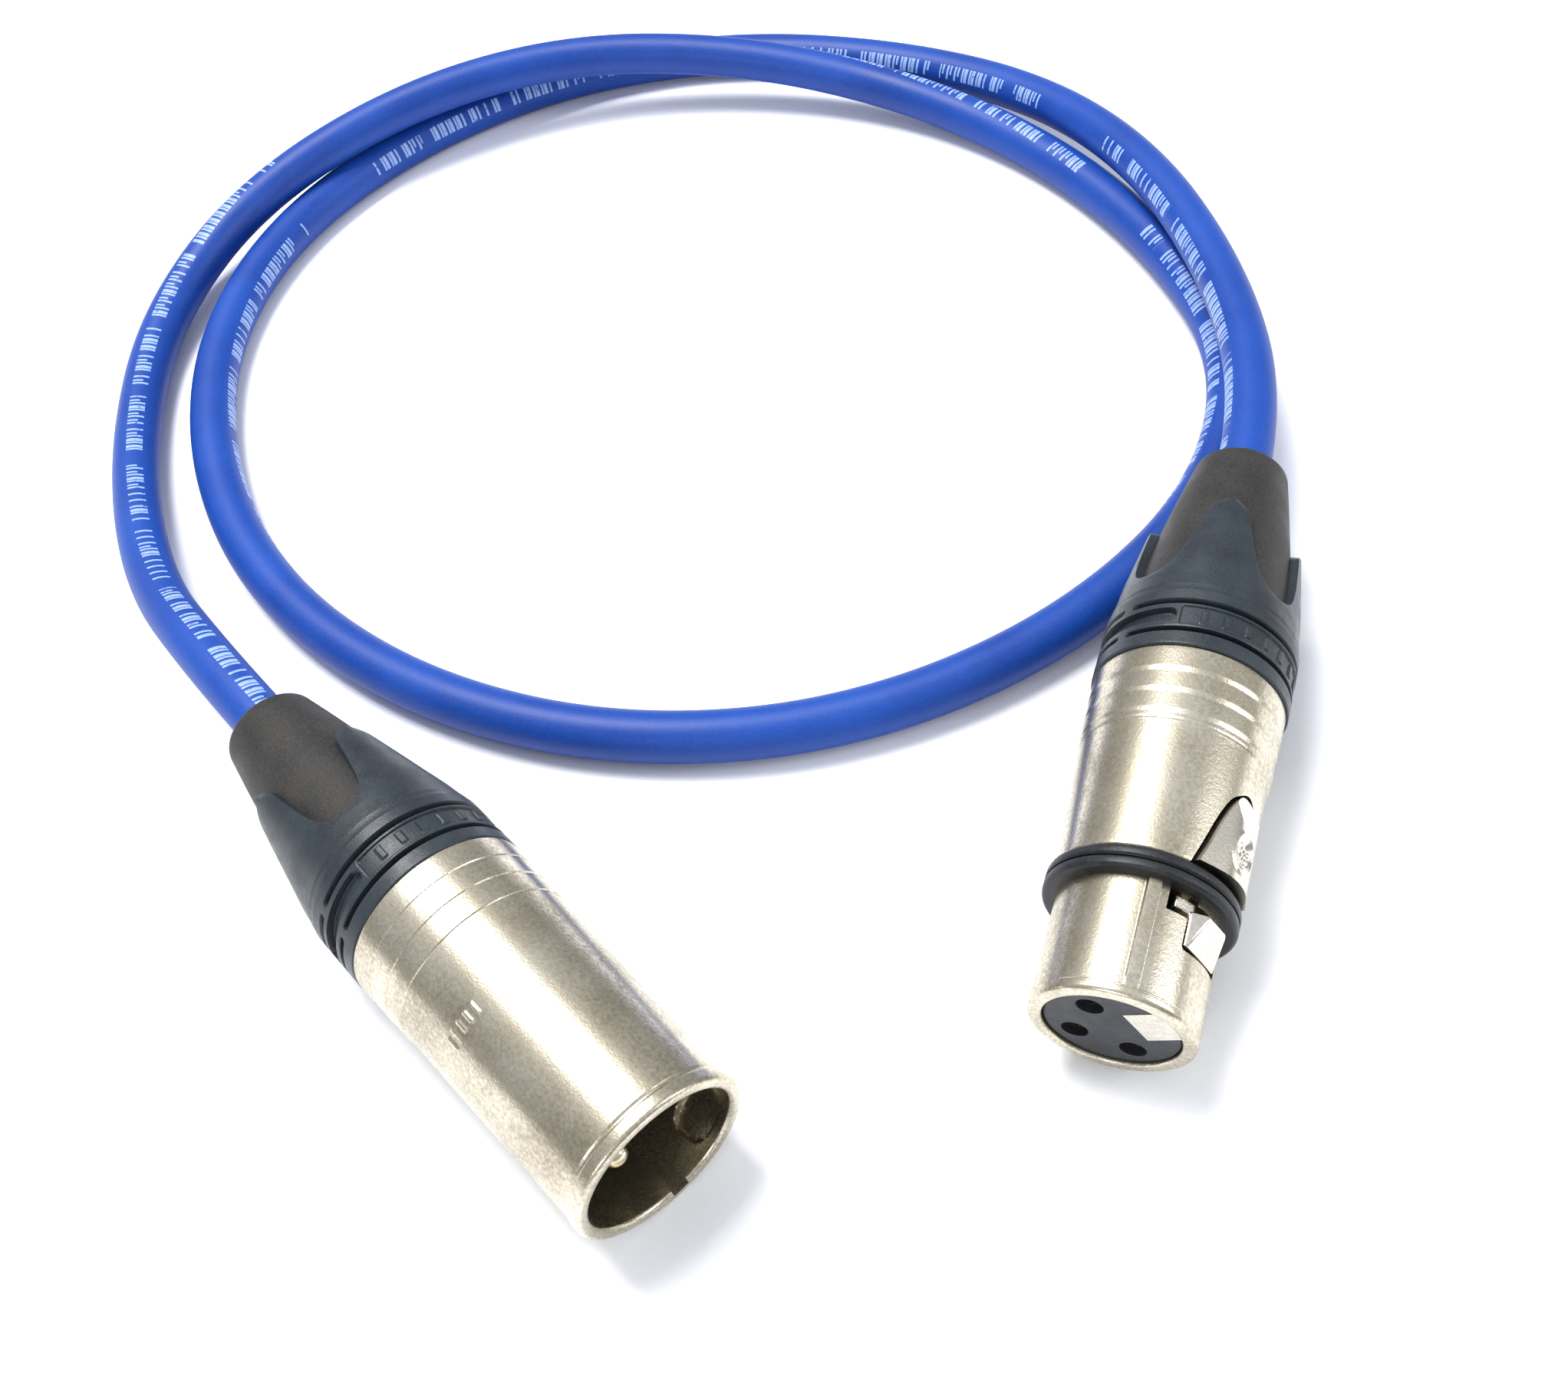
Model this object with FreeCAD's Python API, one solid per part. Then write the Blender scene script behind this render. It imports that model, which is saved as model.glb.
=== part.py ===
"""Microphone cable with a male and a female three-pole XLR connector, lying as a loose loop.

Units are millimetres, +Z is up and z = 0 is the surface that the cable and connectors lie on.
The origin is below the middle of the box around the two connectors.
Each connector is modelled along its own axis first: local z is the depth behind the mouth,
local x points at the latch side, and lay_down() then places it.
"""
import FreeCAD, Part
import math
import os

# ---------------------------------------------------------------- driving dimensions
CABLE_RADIUS = 3.0

# How each connector lies: middle of its mouth, the direction that the mouth faces, and how far
# its latch side, the collar's plate and a petal are turned from straight up, towards the right
# of somebody who looks into the mouth.
MALE_MOUTH_XY = (-17.24, -32.95)
MALE_YAW = -55.0
MALE_LATCH_TURN = 126.0
MALE_PLATE_TURN = 32.0
MALE_PETAL_TURN = 37.0
FEMALE_MOUTH_XY = (24.46, -27.45)
FEMALE_YAW = -116.0
FEMALE_LATCH_TURN = 57.0
FEMALE_PLATE_TURN = 41.0
FEMALE_PETAL_TURN = 0.0

# The three contacts.
CONTACT_CIRCLE_RADIUS = 3.96
CONTACT_ANGLES = (-90.0, 90.0, 180.0)
PIN_RADIUS = 1.2
PIN_ROOT_RADIUS = 1.6
PIN_FLANGE_RADIUS = 1.9
PIN_FLANGE_DEPTHS = (17.5, 18.7)
PIN_NOSE_ROUNDING = 1.05
SOCKET_RADIUS = 1.22
SOCKET_OUTER_RADIUS = 1.45
CUP_RADIUS = 0.95
CUP_OUTER_RADIUS = 1.45
CUP_FLOOR = 1
CUP_OPENING = 2.5
CUP_LENGTH = 4.5
WIRE_RADIUS = 0.7

# Male connector, depths behind the mouth.
MALE_LIP_RADIUS = 9.45
MALE_LIP_FRONT = 0.5
MALE_BORE_RADIUS = 8.05
MALE_INSERT_DEPTH = 14.5
MALE_SEAT_RADIUS = 8.5
MALE_BOUNDARY = 34.5
PIN_TIP_DEPTH = 3.7
INSERT_REAR = 24.0

# Female connector, depths behind the mouth.
BARREL_RADIUS = 7.9
BARREL_BORE_RADIUS = 6.45
RING_RADIUS = 9.35
RING_FRONT = 12.1
RING_REAR = 14.6
FEMALE_SEAT_DEPTH = 15.8
FEMALE_SEAT_RADIUS = 8.2
FEMALE_BOUNDARY = 37.8

# Latch of the female connector.
PIVOT_X = 4.9
PIVOT_DEPTH = 2.4
PIVOT_RADIUS = 0.5
PIVOT_PLAY = 0.04
KEY_HALF_WIDTH = 2.3
STRAP_X = (4.3, 5.5)
STRAP_HALF_WIDTH = 1.9
HOOK_DEPTH = (7.1, 10.7)
HOOK_HALF_WIDTH = 2.6
WINDOW_DEPTH = (6.6, 11.5)
WINDOW_HALF_WIDTH = 2.9
EAR_DEPTH = (10.4, 11.6)
EAR_ANGLES = (-32.0, -16.0)
PAD_CREST_X = 10.1
PAD_FLOOR_X = 4.8
PAD_CLEARANCE = 0.35
PAD_END_DEPTH = 24.8
SPRING_FOOT_X = 1.2
SPRING_DEPTHS = (17.9, 21.6)
SPRING_HALF_WIDTH = 1.25
SPRING_THICKNESS = 0.25

# Collar and rubber sleeve, offsets behind the line where the metal shell ends.
COLLAR_RADIUS = 10.1
COLLAR_NECK_RADIUS = 8.75
NECK_LENGTH = 6.5
THREAD_PITCH = 1.2
FACE_CHAMFER = 0.25
SLOT_FLOOR_RADIUS = 9.3
THIN_SLOTS = ((1.75, 2.25), (5.35, 5.85))
THIN_SLOT_HALF_ANGLE = 85.0
WIDE_SLOT = (3.0, 4.6)
WIDE_SLOT_HALF_ANGLE = 29.0
PLATE_HALF_ANGLE = 54.0
PLATE_DEPTH = 0.2
PLATE_RIBS = 7
CONE_START = 7.3
NOTCH_BOTTOM = 10.5
PETAL_TIP = 22.0
SLEEVE_START = 8.9
SLEEVE_END = 33.0

# Half width of the push pad's opening at each depth behind the mouth.
PAD_OUTLINE = ((RING_REAR, 4.75), (17.4, 4.1), (20.5, 3.35), (22.8, 2.5), (24.0, 1.5))
# Half width of the gap between two petals at each offset behind the shell.
PETAL_GAP = (
    (NOTCH_BOTTOM, 0.0), (11.0, 1.55), (12.4, 2.7), (15.0, 3.5),
    (18.3, 4.1), (20.6, 4.55), (PETAL_TIP + 0.1, 5.9),
)

V = FreeCAD.Vector
AXIS = V(0, 0, 1)


# ---------------------------------------------------------------- shape helpers
def corner_arc(before, corner, after, radius):
    """The tangent arc of this radius at a corner, as its start, middle and end points."""
    into = (corner - before).normalize()
    out = (after - corner).normalize()
    half_turn = into.getAngle(out) / 2
    reach = radius * math.tan(half_turn)
    inward = (out - into).normalize()
    middle = corner + inward * (radius / math.cos(half_turn) - radius)
    return corner - into * reach, middle, corner + out * reach


def rounded_path(points, radii, closed=False):
    """Straight runs joined by tangent arcs, with one radius for each point (0 keeps it sharp)."""
    count = len(points)
    stops = []
    for i, point in enumerate(points):
        is_end = not closed and i in (0, count - 1)
        if is_end or radii[i] == 0:
            stops.append((point, None, point))
        else:
            stops.append(corner_arc(points[i - 1], point, points[(i + 1) % count], radii[i]))
    edges = []
    for i, (start, middle, end) in enumerate(stops):
        if middle is not None:
            edges.append(Part.Arc(start, middle, end).toShape())
        if closed or i < count - 1:
            following = stops[(i + 1) % count][0]
            if (following - end).Length > 1e-6:
                edges.append(Part.LineSegment(end, following).toShape())
    return Part.Wire(edges)


def corner_radii(points):
    return [point[2] if len(point) == 3 else 0 for point in points]


def revolved(profile):
    """A solid of revolution about the axis, from (radius, depth[, corner radius]) points."""
    points = [V(point[0], 0, point[1]) for point in profile]
    outline = rounded_path(points, corner_radii(profile), closed=True)
    return Part.Face(outline).revolve(V(0, 0, 0), AXIS, 360)


def prism_along_x(outline, x_from, x_to):
    """A prism along local x, from (depth, y[, corner radius]) points."""
    points = [V(x_from, point[1], point[0]) for point in outline]
    face = Part.Face(rounded_path(points, corner_radii(outline), closed=True))
    return face.extrude(V(x_to - x_from, 0, 0))


def box(x_range, y_range, z_range):
    size = [high - low for low, high in (x_range, y_range, z_range)]
    return Part.makeBox(*size, V(x_range[0], y_range[0], z_range[0]))


def rod(radius, z_range, radial=0.0, angle=0.0):
    """A cylinder along the axis, standing off it by a radial distance at an angle."""
    base = V(radial * math.cos(math.radians(angle)), radial * math.sin(math.radians(angle)), z_range[0])
    return Part.makeCylinder(radius, z_range[1] - z_range[0], base, AXIS)


def rod_along_y(radius, half_length, x, z):
    return Part.makeCylinder(radius, 2 * half_length, V(x, -half_length, z), V(0, 1, 0))


def ring_sector(radii, z_range, centre_angle, half_angle):
    """Part of a thick ring, between two radii and two depths, around one angle."""
    inner, outer = radii
    outline = [(inner, z_range[0]), (outer, z_range[0]), (outer, z_range[1]), (inner, z_range[1])]
    points = [V(radius, 0, depth) for radius, depth in outline]
    face = Part.Face(Part.makePolygon(points + points[:1]))
    solid = face.revolve(V(0, 0, 0), AXIS, 2 * half_angle)
    return turned(solid, centre_angle - half_angle)


def turned(shape, angle):
    """A copy turned about the connector's axis."""
    copy = shape.copy()
    copy.rotate(V(0, 0, 0), AXIS, angle)
    return copy


def moved(shape, x=0.0, y=0.0, z=0.0):
    copy = shape.copy()
    copy.translate(V(x, y, z))
    return copy


def at_contact(shape, angle):
    """A shape made on the axis, moved to one place of the contact circle."""
    return turned(moved(shape, x=CONTACT_CIRCLE_RADIUS), angle)


# ---------------------------------------------------------------- pieces both connectors have
def chuck(boundary):
    """Clamping chuck: legs that press on the insert, a cup, and four fingers on the cable jacket."""
    front = boundary - 4
    body = revolved([
        (4.8, front), (6.9, front), (6.9, boundary + 2), (5.4, boundary + 13, 0.5),
        (CABLE_RADIUS, boundary + 13), (CABLE_RADIUS, boundary + 3.2), (4.8, boundary + 2),
    ])
    for angle in (0, 45, 90, 135):
        slot = box((-9, 9), (-0.4, 0.4), (boundary + 4.5, boundary + 14))
        body = body.cut(turned(slot, angle))
    for angle in (-90, 90):
        body = body.fuse(ring_sector((6.0, 6.9), (INSERT_REAR, front + 0.5), angle, 24))
    return body


def slot_with_round_ends(z_range, centre_angle, half_angle):
    """A circumferential slot cut in the collar's skin, with half-round ends."""
    middle = sum(z_range) / 2
    half_width = (z_range[1] - z_range[0]) / 2
    outer = COLLAR_RADIUS + 1
    slot = ring_sector((SLOT_FLOOR_RADIUS, outer), z_range, centre_angle, half_angle)
    for side in (-1, 1):
        end = Part.makeCylinder(half_width, 2, V(SLOT_FLOOR_RADIUS, 0, middle), V(1, 0, 0))
        slot = slot.fuse(turned(end, centre_angle + side * half_angle))
    return slot


def petal_notch(boundary):
    """The wide U between two petals, as a cutter along local x."""
    inner_x = 5.5
    upper = [V(inner_x, y, boundary + depth) for depth, y in PETAL_GAP]
    lower = [V(inner_x, -y, boundary + depth) for depth, y in PETAL_GAP]
    curve = Part.BSplineCurve()
    curve.interpolate(list(reversed(lower)) + upper[1:])
    beyond = V(0, 0, 2)
    tail = [upper[-1], upper[-1] + beyond, lower[-1] + beyond, lower[-1]]
    edges = [curve.toShape()] + list(Part.makePolygon(tail).Edges)
    return Part.Face(Part.Wire(edges)).extrude(V(6, 0, 0))


def plate_with_ribs(body, boundary, centre_angle):
    """A shallow framed plate between the thin slots, with plain upright ribs in it."""
    low = boundary + THIN_SLOTS[0][1] + 0.4
    high = boundary + THIN_SLOTS[1][0] - 0.4
    floor = COLLAR_RADIUS - PLATE_DEPTH
    body = body.cut(ring_sector((floor, COLLAR_RADIUS + 1), (low, high), centre_angle, PLATE_HALF_ANGLE))
    step = 2 * PLATE_HALF_ANGLE / (PLATE_RIBS + 1)
    for rib in range(1, PLATE_RIBS + 1):
        angle = centre_angle - PLATE_HALF_ANGLE + rib * step
        bar = ring_sector((floor - 0.1, COLLAR_RADIUS - 0.02), (low + 0.3, high - 0.3), angle, 2.6)
        body = body.fuse(bar)
    return body


def collar(boundary, plate_angle, petal_angle):
    """Hard collar: threaded neck inside the shell, grip ring with slots, and four petals."""
    b = boundary
    neck = COLLAR_NECK_RADIUS
    thread = []
    for turn in range(4):
        z = b - NECK_LENGTH + 0.6 + turn * THREAD_PITCH
        thread += [(neck, z), (neck - 0.35, z + 0.35), (neck, z + 0.7)]
    body = revolved(
        [(7.2, b - NECK_LENGTH), (neck, b - NECK_LENGTH)]
        + thread
        + [(neck, b), (COLLAR_RADIUS - FACE_CHAMFER, b), (COLLAR_RADIUS, b + FACE_CHAMFER),
           (COLLAR_RADIUS, b + CONE_START - 0.15), (10.0, b + CONE_START), (8.1, b + PETAL_TIP, 0.3),
           (7.2, b + PETAL_TIP), (9.0, b + SLEEVE_START), (6.2, b + SLEEVE_START), (7.2, b + 2.2)]
    )
    for z_range in THIN_SLOTS:
        for side in (0, 180):
            where = (b + z_range[0], b + z_range[1])
            body = body.cut(slot_with_round_ends(where, plate_angle + side, THIN_SLOT_HALF_ANGLE))
    for side in (-90, 90):
        where = (b + WIDE_SLOT[0], b + WIDE_SLOT[1])
        body = body.cut(slot_with_round_ends(where, plate_angle + side, WIDE_SLOT_HALF_ANGLE))
    for side in (0, 180):
        body = plate_with_ribs(body, b, plate_angle + side)
    for quarter in range(4):
        body = body.cut(turned(petal_notch(b), petal_angle + 45 + 90 * quarter))
    return body


def rubber_sleeve(boundary):
    """Rubber bend protection: a tapered sleeve under the petals that closes round the cable."""
    b = boundary
    return revolved([
        (8.9, b + SLEEVE_START), (7.05, b + PETAL_TIP, 30), (6.05, b + 28, 30),
        (5.15, b + SLEEVE_END, 0.9), (CABLE_RADIUS, b + SLEEVE_END),
        (CABLE_RADIUS, b + 17), (5.6, b + 14), (6.2, b + SLEEVE_START),
    ])


def jacket_end(boundary):
    """The end of the cable jacket inside the connector."""
    return rod(CABLE_RADIUS, (boundary + 2.6, boundary + SLEEVE_END))


def wire(boundary, cup_depth, angle):
    """One stripped wire, from its solder cup to the cut end of the jacket."""
    inner = 1.15
    points = [
        V(CONTACT_CIRCLE_RADIUS, 0, cup_depth), V(CONTACT_CIRCLE_RADIUS, 0, cup_depth + 2.9),
        V(inner, 0, boundary + 1.0), V(inner, 0, boundary + 2.6),
    ]
    path = rounded_path(points, [0, 2.5, 2.5, 0])
    section = Part.Wire(Part.makeCircle(WIRE_RADIUS, points[0], AXIS))
    return turned(path.makePipeShell([section], True, False), angle)


def spring_contact(radii, shell_radius, z_from, angle):
    """Ground contact: a thin bent plate on the insert with a raised tongue on the shell."""
    plate = ring_sector(radii, (z_from, z_from + 3.6), angle, 20)
    tongue = ring_sector((radii[1], shell_radius), (z_from + 1.0, z_from + 2.4), angle, 9)
    return plate.fuse(tongue)


# ---------------------------------------------------------------- male connector
def male_shell():
    """Cast shell with a beaded lip, a keyway and the recess that the mating latch drops into."""
    rear_bore = COLLAR_NECK_RADIUS
    body = revolved([
        (MALE_BORE_RADIUS, MALE_INSERT_DEPTH), (MALE_BORE_RADIUS, 0, 0.45),
        (MALE_LIP_RADIUS, 0, MALE_LIP_FRONT), (MALE_LIP_RADIUS, 1.45, 0.25),
        (9.2, 1.6), (9.2, 1.8), (9.3, 2.0),
        (9.75, 26.6), (9.83, 26.7), (9.86, 29.2), (9.94, 29.3), (9.96, 31.8), (10.04, 31.9),
        (10.04, MALE_BOUNDARY), (rear_bore, MALE_BOUNDARY), (rear_bore, 27.4),
        (MALE_SEAT_RADIUS, 27.2), (MALE_SEAT_RADIUS, MALE_INSERT_DEPTH),
    ])
    recess = prism_along_x([(1.4, -3.4, 1.6), (1.4, 3.4, 1.6), (5.5, 3.4, 1.6), (5.5, -3.4, 1.6)], 6, 9)
    recess = recess.common(rod(8.8, (0, 8)))
    keyway = box((7.0, 8.55), (-0.85, 0.85), (-1, MALE_INSERT_DEPTH))
    return body.cut(recess).cut(turned(keyway, 49))


def with_solder_cup(contact):
    """A contact on the axis with its rear end bored and half cut away for the wire."""
    cup_end = INSERT_REAR + CUP_LENGTH
    mouth = box((0, 3), (-3, 3), (INSERT_REAR + CUP_OPENING, cup_end + 1))
    return contact.cut(rod(CUP_RADIUS, (INSERT_REAR + CUP_FLOOR, cup_end + 1))).cut(mouth)


def male_pin():
    """Contact pin with a round nose, a thicker root with a retaining flange, and a solder cup."""
    root, flange = PIN_ROOT_RADIUS, PIN_FLANGE_RADIUS
    flange_front, flange_rear = PIN_FLANGE_DEPTHS
    cup_end = INSERT_REAR + CUP_LENGTH
    return with_solder_cup(revolved([
        (0, PIN_TIP_DEPTH), (PIN_RADIUS, PIN_TIP_DEPTH, PIN_NOSE_ROUNDING),
        (PIN_RADIUS, MALE_INSERT_DEPTH),
        (root, MALE_INSERT_DEPTH), (root, flange_front), (flange, flange_front), (flange, flange_rear),
        (root, flange_rear), (root, INSERT_REAR), (CUP_OUTER_RADIUS, INSERT_REAR),
        (CUP_OUTER_RADIUS, cup_end), (0, cup_end),
    ]))


def male_insert():
    """Moulded insert that holds the three pins, with a stepped rear."""
    body = revolved([
        (0, MALE_INSERT_DEPTH), (MALE_SEAT_RADIUS, MALE_INSERT_DEPTH),
        (MALE_SEAT_RADIUS, 19.4), (7.6, 19.4), (7.6, INSERT_REAR, 0.4), (0, INSERT_REAR),
    ])
    for angle in CONTACT_ANGLES:
        body = body.cut(at_contact(male_pin(), angle))
    return body


# ---------------------------------------------------------------- female connector
def pad_footprint(shrink, x_from, x_to):
    """Boat-shaped outline of the push pad, smaller by the shrink all round."""
    front = RING_REAR + 0.4 if shrink else RING_REAR
    side = [(max(depth, front), half - shrink) for depth, half in PAD_OUTLINE]
    side[-1] = (side[-1][0] - shrink / 2, side[-1][1] - shrink / 2)
    right = [V(x_from, half, depth) for depth, half in side]
    left = [V(x_from, -half, depth) for depth, half in side]
    tip = V(x_from, 0, PAD_END_DEPTH - shrink)
    curve = Part.BSplineCurve()
    curve.interpolate(right + [tip] + list(reversed(left)))
    front_edge = Part.LineSegment(left[0], right[0]).toShape()
    face = Part.Face(Part.Wire([curve.toShape(), front_edge]))
    return face.extrude(V(x_to - x_from, 0, 0))


def female_shell():
    """Cast shell: slim nose with a key rib and the hook's window, then the wider grip."""
    rear_bore = COLLAR_NECK_RADIUS
    b = FEMALE_BOUNDARY
    body = revolved([
        (BARREL_BORE_RADIUS, FEMALE_SEAT_DEPTH), (BARREL_BORE_RADIUS, 0, 0.25),
        (BARREL_RADIUS, 0, 0.7), (BARREL_RADIUS, RING_REAR), (8.95, RING_REAR, 0.3),
        (9.47, 28.9), (9.6, 29.1), (9.62, 29.9), (9.68, 30.0), (9.7, 32.4), (9.76, 32.5),
        (9.78, 34.9), (9.84, 35.0), (9.84, b), (rear_bore, b), (rear_bore, b - 7.1),
        (FEMALE_SEAT_RADIUS, b - 7.4), (FEMALE_SEAT_RADIUS, FEMALE_SEAT_DEPTH),
    ])
    rib = box((BARREL_RADIUS - 0.4, BARREL_RADIUS + 0.45), (-0.65, 0.65), (1.5, RING_FRONT))
    rib = rib.cut(moved(Part.makeBox(2, 4, 2, V(0, -2, -2)), x=BARREL_RADIUS + 0.05, z=2.2))
    body = body.fuse(turned(rib, -49))
    low, high = WINDOW_DEPTH
    half = WINDOW_HALF_WIDTH
    window = prism_along_x([(low, -half, 0.4), (low, half, 0.4), (high, half, 0.4), (high, -half, 0.4)], 5, 9)
    ear_room = ring_sector((5.8, 8.5), (EAR_DEPTH[0] - 0.7, RING_FRONT), sum(EAR_ANGLES) / 2 - 1, 11)
    return body.cut(window).cut(ear_room).cut(pad_footprint(0, 4.0, 12))


def female_contact():
    """Socket contact: a bored tube with a solid middle and a solder cup."""
    tube = rod(SOCKET_OUTER_RADIUS, (1.3, INSERT_REAR + CUP_LENGTH))
    return with_solder_cup(tube.cut(rod(SOCKET_RADIUS, (1.0, 14.5))))


def female_insert():
    """Moulded insert with three contact holes and the channel for the key block and the lever."""
    nose = BARREL_BORE_RADIUS - 0.05
    body = revolved([
        (0, 0.4), (nose, 0.4, 0.2), (nose, FEMALE_SEAT_DEPTH),
        (FEMALE_SEAT_RADIUS - 0.05, FEMALE_SEAT_DEPTH), (FEMALE_SEAT_RADIUS - 0.05, 20.4),
        (7.4, 20.4), (7.4, INSERT_REAR, 0.4), (0, INSERT_REAR),
    ])
    for angle in CONTACT_ANGLES:
        body = body.cut(at_contact(rod(1.3, (0, 2)), angle))
        body = body.cut(at_contact(rod(SOCKET_OUTER_RADIUS, (1.3, 26)), angle))
    lever_channel = box((2.5, 9), (-KEY_HALF_WIDTH, KEY_HALF_WIDTH), (0, 14.3))
    hook_room = box((3.4, 9), (-WINDOW_HALF_WIDTH, WINDOW_HALF_WIDTH), (6.4, 11.6))
    ear_room = box((3.4, 9), (-5.6, 0), (EAR_DEPTH[0] - 0.8, EAR_DEPTH[1] + 0.6))
    pad_room = box((2.0, 9), (-9, 9), (14.2, 26))
    spring_half = SPRING_HALF_WIDTH + 0.15
    seat_depths = (SPRING_DEPTHS[0] - 0.3, SPRING_DEPTHS[1] + 0.3)
    spring_seat = box((SPRING_FOOT_X, 3), (-spring_half, spring_half), seat_depths)
    for cutter in (lever_channel, hook_room, ear_room, pad_room, spring_seat):
        body = body.cut(cutter)
    return body


def key_block():
    """Metal polarising key in the nose, forked to carry the latch's pivot pin."""
    block = box((2.5, 7), (-KEY_HALF_WIDTH, KEY_HALF_WIDTH), (0.35, 4.6))
    block = block.common(rod(BARREL_BORE_RADIUS - 0.05, (0, 6)))
    block = block.cut(box((3.35, 8), (-1.4, 1.4), (0.95, 5)))
    return block.cut(rod_along_y(PIVOT_RADIUS, 3, PIVOT_X, PIVOT_DEPTH))


def pivot_pin():
    return rod_along_y(PIVOT_RADIUS, KEY_HALF_WIDTH - 0.05, PIVOT_X, PIVOT_DEPTH)


def push_pad():
    """Boat-shaped pad with a flat crest, two sloping flanks, an oval dish and three grip bars."""
    crest = PAD_CREST_X
    roof = [(PAD_FLOOR_X, -5.2), (7.9, -5.2), (crest, -1.5), (crest, 1.5), (7.9, 5.2), (PAD_FLOOR_X, 5.2)]
    points = [V(x, y, RING_REAR) for x, y in roof]
    section = Part.Face(Part.makePolygon(points + points[:1]))
    pad = pad_footprint(PAD_CLEARANCE, PAD_FLOOR_X, 12).common(section.extrude(V(0, 0, 12)))
    rear_slope = [(20.8, crest), (25.0, 9.1), (25.0, 12), (20.8, 12)]
    points = [V(x, -6, depth) for depth, x in rear_slope]
    pad = pad.cut(Part.Face(Part.makePolygon(points + points[:1])).extrude(V(0, 12, 0)))
    dish = Part.makeSphere(9.0, V(crest + 8.5, 0, 18.2))
    pad = pad.cut(dish)
    for offset in (-1.2, 0, 1.2):
        bar = box((crest - 1.0, crest - 0.25), (-0.9, 0.9), (17.95 + offset, 18.45 + offset))
        pad = pad.fuse(bar)
    return pad


def latch_lever():
    """Locking lever: pivot eye, strap, hook that stands out of the window, and push pad."""
    eye = rod_along_y(1.25, 1.25, PIVOT_X, PIVOT_DEPTH)
    neck = box(STRAP_X, (-1.25, 1.25), (PIVOT_DEPTH, 5.2))
    strap = box(STRAP_X, (-STRAP_HALF_WIDTH, STRAP_HALF_WIDTH), (5.0, 15.6))
    low, high = HOOK_DEPTH
    side = [(5.2, low), (7.7, low), (8.75, high - 0.5), (8.75, high), (5.2, high)]
    points = [V(x, -HOOK_HALF_WIDTH, depth) for x, depth in side]
    hook = Part.Face(Part.makePolygon(points + points[:1])).extrude(V(0, 2 * HOOK_HALF_WIDTH, 0))
    ear_middle = sum(EAR_ANGLES) / 2
    ear = ring_sector((6.6, 7.7), EAR_DEPTH, ear_middle, EAR_ANGLES[1] - ear_middle)
    lever = eye.fuse(neck).fuse(strap).fuse(hook).fuse(ear).fuse(push_pad())
    return lever.cut(rod_along_y(PIVOT_RADIUS + PIVOT_PLAY, 3, PIVOT_X, PIVOT_DEPTH))


def latch_spring():
    """Bent leaf spring between the insert and the push pad."""
    foot, top = SPRING_FOOT_X + 0.02, PAD_FLOOR_X - 0.02
    front, rear = SPRING_DEPTHS
    sheet = SPRING_THICKNESS
    tip = front + 0.6
    outline = [
        (foot, front), (foot, rear, 0.6), (top, tip + 0.3), (top, tip - 0.1),
        (top - 0.15, tip - 0.1), (foot + sheet, rear - 3.2 * sheet, 0.35), (foot + sheet, front),
    ]
    points = [V(point[0], -SPRING_HALF_WIDTH, point[1]) for point in outline]
    face = Part.Face(rounded_path(points, corner_radii(outline), closed=True))
    return face.extrude(V(0, 2 * SPRING_HALF_WIDTH, 0))


def rubber_ring():
    """Black rubber ring with two ridges, seated behind the nose."""
    front, rear = RING_FRONT, RING_REAR
    return revolved([
        (BARREL_RADIUS, front), (RING_RADIUS, front, 0.45), (RING_RADIUS, front + 1.15, 0.3),
        (RING_RADIUS - 0.3, front + 1.25), (RING_RADIUS, front + 1.35, 0.3),
        (RING_RADIUS, rear - 0.02, 0.45), (BARREL_RADIUS, rear - 0.02),
    ])


# ---------------------------------------------------------------- how the connectors lie
def lay_down(mouth_xy, yaw, latch_turn, front, rear):
    """Placement of a connector that rests on two of its circles.

    front and rear are (radius, depth) of the two circles that touch the surface.
    """
    tilt = math.atan((rear[0] - front[0]) / (rear[1] - front[1]))
    height = front[0] * math.cos(tilt) - front[1] * math.sin(tilt)
    heading = math.radians(yaw)
    facing = V(math.cos(heading) * math.cos(tilt), math.sin(heading) * math.cos(tilt), -math.sin(tilt))
    right = AXIS.cross(facing).normalize()
    up = facing.cross(right)
    turn = math.radians(latch_turn)
    local_x = up * math.cos(turn) + right * math.sin(turn)
    local_z = facing * -1
    local_y = local_z.cross(local_x)
    matrix = FreeCAD.Matrix(
        local_x.x, local_y.x, local_z.x, mouth_xy[0],
        local_x.y, local_y.y, local_z.y, mouth_xy[1],
        local_x.z, local_y.z, local_z.z, height,
        0, 0, 0, 1,
    )
    return FreeCAD.Placement(matrix)


male_place = lay_down(
    MALE_MOUTH_XY, MALE_YAW, MALE_LATCH_TURN,
    (MALE_LIP_RADIUS, MALE_LIP_FRONT), (COLLAR_RADIUS, MALE_BOUNDARY + FACE_CHAMFER))
female_place = lay_down(
    FEMALE_MOUTH_XY, FEMALE_YAW, FEMALE_LATCH_TURN,
    (RING_RADIUS, RING_FRONT + 0.45), (COLLAR_RADIUS, FEMALE_BOUNDARY + FACE_CHAMFER))


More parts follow.
